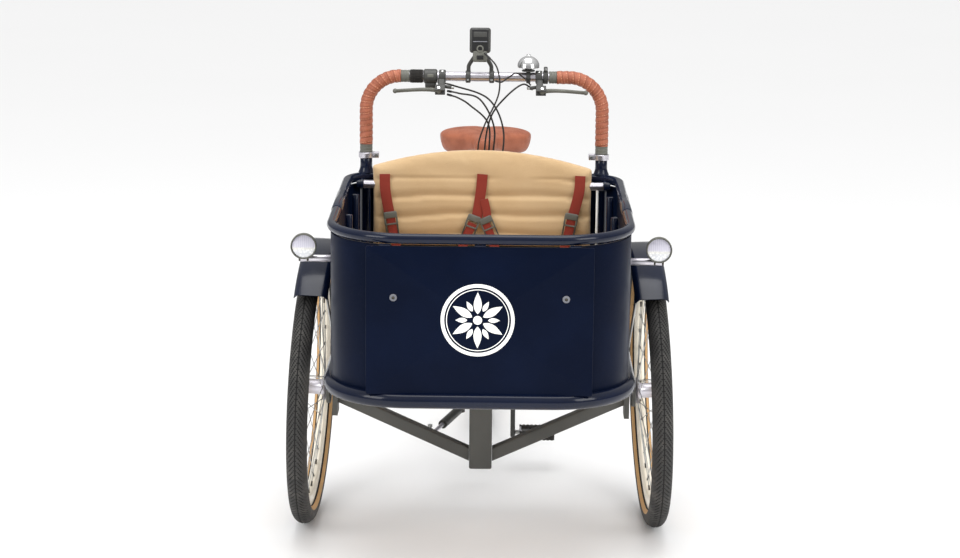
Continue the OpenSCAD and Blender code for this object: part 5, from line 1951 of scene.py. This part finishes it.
@dataclass
class Saddle:
    """The hide-covered saddle on its rails, clamp and post."""

    body: str = "saddle_body"
    top: float = 0.845
    half: float = 0.1205

    def cover(self, piece: Piece) -> None:
        """Adds the cover: a squared oval at each length, its width swelling from nose to tail.

        The height is lowered by a bell along the middle, for the dip, and raised at the tail.

        Args:
            piece: the piece to add to.
        """
        u = np.linspace(0, 1, 64)[:, None]
        a = np.linspace(0, FULL_TURN, 72, endpoint=False)[None]
        swell = 1 / (1 + np.exp(-(u - 0.5) / 0.075))
        ends = np.sqrt(np.clip(1 - ((0.05 - u) / 0.05).clip(0) ** 2, 0,
            1)) * np.sqrt(np.clip(1 - ((u - 0.84) / 0.16).clip(0) ** 2, 0, 1))
        width = (0.0255 + (self.half - 0.0255) * swell) * (0.05 + 0.95 * ends)
        c, s = np.cos(a), np.sin(a)
        x = width * np.sign(c) * np.abs(c) ** np.where(s > 0, 0.6,
            0.22) * (1 - 0.12 * np.clip(s, 0, 1) ** 2)
        tall = 0.025 * (0.12 + 0.88 * ends)
        tail = 1 - 0.62 * np.clip((u - 0.7) / 0.15, 0, 1)
        drop = (0.015 + 0.027 * swell) * tail
        z = np.where(s > 0, tall * np.abs(s) ** 0.75, -drop * ends * np.abs(s) ** 0.6)
        dip = 0.006 * np.exp(-(x / 0.013) ** 2) * np.clip((u - 0.08) / 0.2, 0,
            1) * np.clip((0.97 - u) / 0.15, 0, 1)
        z = z - np.where(s > 0, dip, 0)
        crown = 0.003 * swell - 0.002 * np.exp(-((u - 0.45) / 0.2) ** 2)
        y = SADDLE_Y - 0.132 + 0.24 * u
        grid = np.stack([x, y + 0 * x, self.top - 0.031 + crown + z], -1)
        piece.add(capped(grid), Look.SADDLE)

    def dress(self) -> Thing:
        """Builds the saddle with its rails, clamp and post.

        Returns:
            The finished object.
        """
        piece = Piece("saddle_seat")
        self.cover(piece)
        lean = math.tan(math.radians(SEAT_TUBE_LEAN))
        foot = np.array([0, CRANK[1] + (0.47 - CRANK[2]) * lean, 0.47])
        head = np.array([0, CRANK[1] + (self.top - 0.06 - CRANK[2]) * lean, self.top - 0.06])
        piece.add(rod(foot, head, 0.0135, 0.001, 32), Look.ALUMINIUM)
        rail_z = self.top - 0.05
        for s in SIDES:
            line = smooth_path(np.array([(s * 0.01, SADDLE_Y - 0.126, self.top - 0.04),
                (s * 0.018, SADDLE_Y - 0.09, rail_z), (s * 0.022, SADDLE_Y - 0.03, rail_z),
                (s * 0.022, SADDLE_Y + 0.05, rail_z),
                (s * 0.034, SADDLE_Y + 0.082, self.top - 0.04)]), 8)
            piece.add(tube(line, 0.0036, Z_AXIS, sides=14), Look.STEEL)
        piece.block((0.058, 0.036, 0.021), 0.004, (0, head[1], self.top - 0.052), Look.DARK_STEEL)
        for s in SIDES:
            coil_at = np.array([s * 0.066, SADDLE_Y + 0.058, 0])
            piece.add(rod(coil_at + (0, 0, self.top - 0.047), coil_at + (0, 0, self.top - 0.03),
                0.016, 0.003), Look.BLACK)
        return piece.make(self.body, "saddle_unit", sharp=50)


@dataclass
class RearEnd:
    """The battery on the rack and the rear lamp."""

    body: str = "rear_frame"

    def battery(self) -> Thing:
        """Builds the battery case with its lid seam, side grips, lock and front dock.

        Returns:
            The finished object.
        """
        piece = Piece("battery_case")
        y = REAR[1] + 0.01
        piece.block((0.12, 0.36, 0.032), 0.007, (0, y, 0.7365), Look.BLACK, 4)
        piece.block((0.1185, 0.357, 0.024), 0.008, (0, y, 0.7638), Look.DARK, 4)
        for s in SIDES:
            grip = placed(rounded_block((0.002, 0.18, 0.01), 0.0009), (s * 0.0594, y, 0.738))
            piece.add(grip, Look.GREY)
        piece.block((0.09, 0.008, 0.04), 0.003, (0, REAR[1] - 0.176, 0.748), Look.DARK)
        piece.add(lathe([(0, 0), (0, 0.008), (0.001, 0.0076), (0.001, 0.0045), (0.0002, 0.004),
            (0.0002, 0)], (0.059, y - 0.12, 0.748), X_AXIS, 28), Look.STEEL)
        return piece.make(self.body, "battery")

    def lamp(self) -> Thing:
        """Builds the rear lamp: a red lens whose face waves with the radius, in a cup.

        Returns:
            The finished object.
        """
        piece = Piece("rear_lamp_lens")
        r = np.linspace(0, 0.0205, 30)
        face = np.stack([0.0048 + 0.0005 * np.cos(r * 1800), r], -1)
        at = (0, REAR[1] + 0.214, 0.736)
        piece.add(lathe(np.concatenate([face, [(0.0035, 0.0212), (-0.002, 0.0212), (-0.002, 0)]]),
            at, Y_AXIS, 48), Look.LAMP_RED)
        cup = [(-0.006, 0), (-0.006, 0.019), (-0.004, 0.0218), (0.0018, 0.022), (0.0018, 0.0213),
            (-0.0015, 0.0213), (-0.0015, 0)]
        piece.add(lathe(cup, at, Y_AXIS, 48), Look.BLACK)
        piece.block((0.03, 0.004, 0.02), 0.0015, (0, REAR[1] + 0.208, 0.712), Look.BLACK)
        return piece.make(self.body, "rear_lamp")

    def dress(self) -> None:
        """Builds the battery and the rear lamp."""
        self.battery()
        self.lamp()


# Carried-over parts and the studio


@dataclass
class PlainParts:
    """The design's own parts whose shape is right, given their finishes."""

    looks: dict = field(default_factory=lambda: {"main_frame": Look.FRAME,
        "chain_stays": Look.FRAME, "seat_stays": Look.FRAME, "rear_axle": Look.STEEL,
        "rear_rack": Look.BLACK, "chain_case": Look.PANEL, "chain": Look.DARK_STEEL,
        "damper_cylinder": Look.BLACK, "damper_rod": Look.ALUMINIUM, "kingpin": Look.STEEL,
        "left_stub_axle": Look.SATIN, "right_stub_axle": Look.SATIN, "floor_beams": Look.SATIN,
        "floor_panel": Look.PLY, "bench_board": Look.PLY})

    def dress(self) -> None:
        """Puts a finish in every material slot of each of them."""
        for name, look in self.looks.items():
            part = frame["nodes"][name]
            for place in range(len(part.material_slots)):
                part.material_slots[place].material = look.value.material()
            LOG.info("%-24s keeps its design shape", name)


@dataclass
class Studio:
    """Camera, lamps, floor and sky."""

    lens: float = 95.97
    at: tuple[float, float, float] = (0.0422357, -6.214682, 1.835062)
    pitch: float = 0.207453
    yaw: float = 0.0080037
    roll: float = 0.0096561

    def camera(self) -> None:
        """Places the camera: along +Y, turned by yaw, tipped down by pitch, then rolled."""
        right0 = np.array([math.cos(self.yaw), math.sin(self.yaw), 0])
        ahead = np.array([-math.sin(self.yaw), math.cos(self.yaw), 0])
        look = ahead * math.cos(self.pitch) - Z_AXIS * math.sin(self.pitch)
        up0 = ahead * math.sin(self.pitch) + Z_AXIS * math.cos(self.pitch)
        right = math.cos(self.roll) * right0 + math.sin(self.roll) * up0
        up = math.cos(self.roll) * up0 - math.sin(self.roll) * right0
        data = bpy.data.cameras.new("studio_camera")
        data.lens, data.sensor_width, data.clip_end = self.lens, 36.0, 200.0
        made = bpy.data.objects.new("studio_camera", data)
        bpy.context.scene.collection.objects.link(made)
        turn = Matrix(np.stack([right, up, -look], -1).tolist()).to_4x4()
        made.matrix_world = Matrix.Translation(self.at) @ turn
        bpy.context.scene.camera = made

    def floor(self) -> None:
        """Lays the pale floor: a flat grid, wide enough to reach the view's edges."""
        x, y = np.meshgrid(np.linspace(-30, 30, 9), np.linspace(-30, 30, 9))
        shade = Shade("floor_paint")
        shade.set(Base_Color=shade.mix(shade.noise(0.6, 2) * 0.4, (0.86, 0.86, 0.86, 1),
            (0.9, 0.9, 0.9, 1)), Roughness=0.9, Specular_IOR_Level=0.1)
        piece = Piece("studio_floor")
        piece.add(np.stack([x, y, 0 * x - 0.0005], -1), Look.WHITE, wrap=False)
        made = bpy.data.objects.new("studio_floor", piece.mesh(30))
        made.data.materials.append(shade.material)
        bpy.context.scene.collection.objects.link(made)

    def lamp(self, name: str, at: tuple, size: tuple, power: float) -> None:
        """Hangs one soft square lamp that points at the middle of the machine.

        Args:
            name: its name.
            at: its place.
            size: its width and height in metres.
            power: its power in watts.
        """
        data = bpy.data.lights.new(name, "AREA")
        data.shape, data.size, data.size_y, data.energy = "RECTANGLE", size[0], size[1], power
        made = bpy.data.objects.new(name, data)
        made.location = at
        aim = Vector((0, -0.2, 0.6)) - Vector(at)
        made.rotation_euler = aim.to_track_quat("-Z", "Y").to_euler()
        bpy.context.scene.collection.objects.link(made)

    def sky(self) -> None:
        """Fills the surroundings with white; only mirrored rays see it fade downwards."""
        world = bpy.data.worlds.new("studio_sky")
        bpy.context.scene.world = world
        world.use_nodes = True
        tree = world.node_tree
        tree.nodes.clear()
        out = tree.nodes.new("ShaderNodeOutputWorld")
        seen = tree.nodes.new("ShaderNodeBackground")
        seen.inputs[0].default_value, seen.inputs[1].default_value = (1, 1, 1, 1), 1.05
        lit = tree.nodes.new("ShaderNodeBackground")
        place = tree.nodes.new("ShaderNodeTexCoord")
        axes = tree.nodes.new("ShaderNodeSeparateXYZ")
        tree.links.new(place.outputs["Generated"], axes.inputs[0])
        rise = tree.nodes.new("ShaderNodeMapRange")
        rise.inputs["From Min"].default_value, rise.inputs["From Max"].default_value = -0.1, 0.9
        rise.inputs["To Min"].default_value, rise.inputs["To Max"].default_value = 0.25, 1.0
        tree.links.new(axes.outputs["Z"], rise.inputs["Value"])
        tree.links.new(rise.outputs[0], lit.inputs[1])
        rays = tree.nodes.new("ShaderNodeLightPath")
        mix = tree.nodes.new("ShaderNodeMixShader")
        tree.links.new(rays.outputs["Is Glossy Ray"], mix.inputs[0])
        tree.links.new(seen.outputs[0], mix.inputs[1])
        tree.links.new(lit.outputs[0], mix.inputs[2])
        tree.links.new(mix.outputs[0], out.inputs[0])

    def dress(self) -> None:
        """Builds the floor, the sky and the lamps."""
        self.floor()
        self.sky()
        self.lamp("left_softbox", (-3.2, -3.4, 2.6), (2.0, 2.0), 60)
        self.lamp("right_softbox", (3.2, -3.4, 2.6), (2.0, 2.0), 60)
        self.lamp("top_softbox", (0.0, -0.6, 3.6), (2.4, 2.4), 60)
        bpy.context.scene.view_settings.view_transform = "Standard"


# The whole machine


def front_turn(side: int) -> Grid:
    """Returns a front wheel's own axes: mirrored on the left, leaned and toed."""
    return turned(Z_AXIS, side * FRONT_TOE) @ turned(Y_AXIS,
        -side * FRONT_LEAN) @ np.diag([side, 1, 1])


def main() -> None:
    """Builds the camera and every sub-assembly in order."""
    studio = Studio()
    studio.camera()
    for side, name in ((-1, "left"), (1, "right")):
        at = np.array([side * HUB_X, HUB_Y, HUB_Z])
        wheel = Wheel(name, name + "_front_wheel", at, front_turn(side))
        wheel.tyre()
        wheel.centre()
        stays = [((side * 0.346, HUB_Y + 0.0334, 0.436), (side * 0.358, HUB_Y + 0.25, 0.52)),
            ((side * 0.346, HUB_Y - 0.0334, 0.436), (side * 0.354, HUB_Y - 0.2, 0.592))]
        Mudguard(name + "_mudguard", "front_carrier", at, front_turn(side), -0.013, 0.039, 0.354,
            122, 220, stays).dress()
    rear = DriveWheel("rear", "rear_road_wheel", REAR, np.eye(3), 0.034, 0.04, 0.05, 0.00605)
    rear.tyre()
    rear.centre()
    stays = [((s * 0.084, REAR[1] + 0.012, REAR[2] + 0.012),
        (s * 0.035, REAR[1] + 0.3, REAR[2] + 0.162)) for s in SIDES]
    Mudguard("rear_mudguard", "rear_frame", REAR, np.eye(3), 0.0, 0.032, 0.348, 78, 252,
        stays).dress()
    for assembly in (CargoBox(), SoftGoods(), Handlebar(), Controls(), FrontLamps(), SteeringGear(),
            Drive(), Saddle(), RearEnd(), PlainParts(), studio):
        LOG.info("building %s", type(assembly).__name__)
        assembly.dress()


if __name__ == "__main__":
    main()
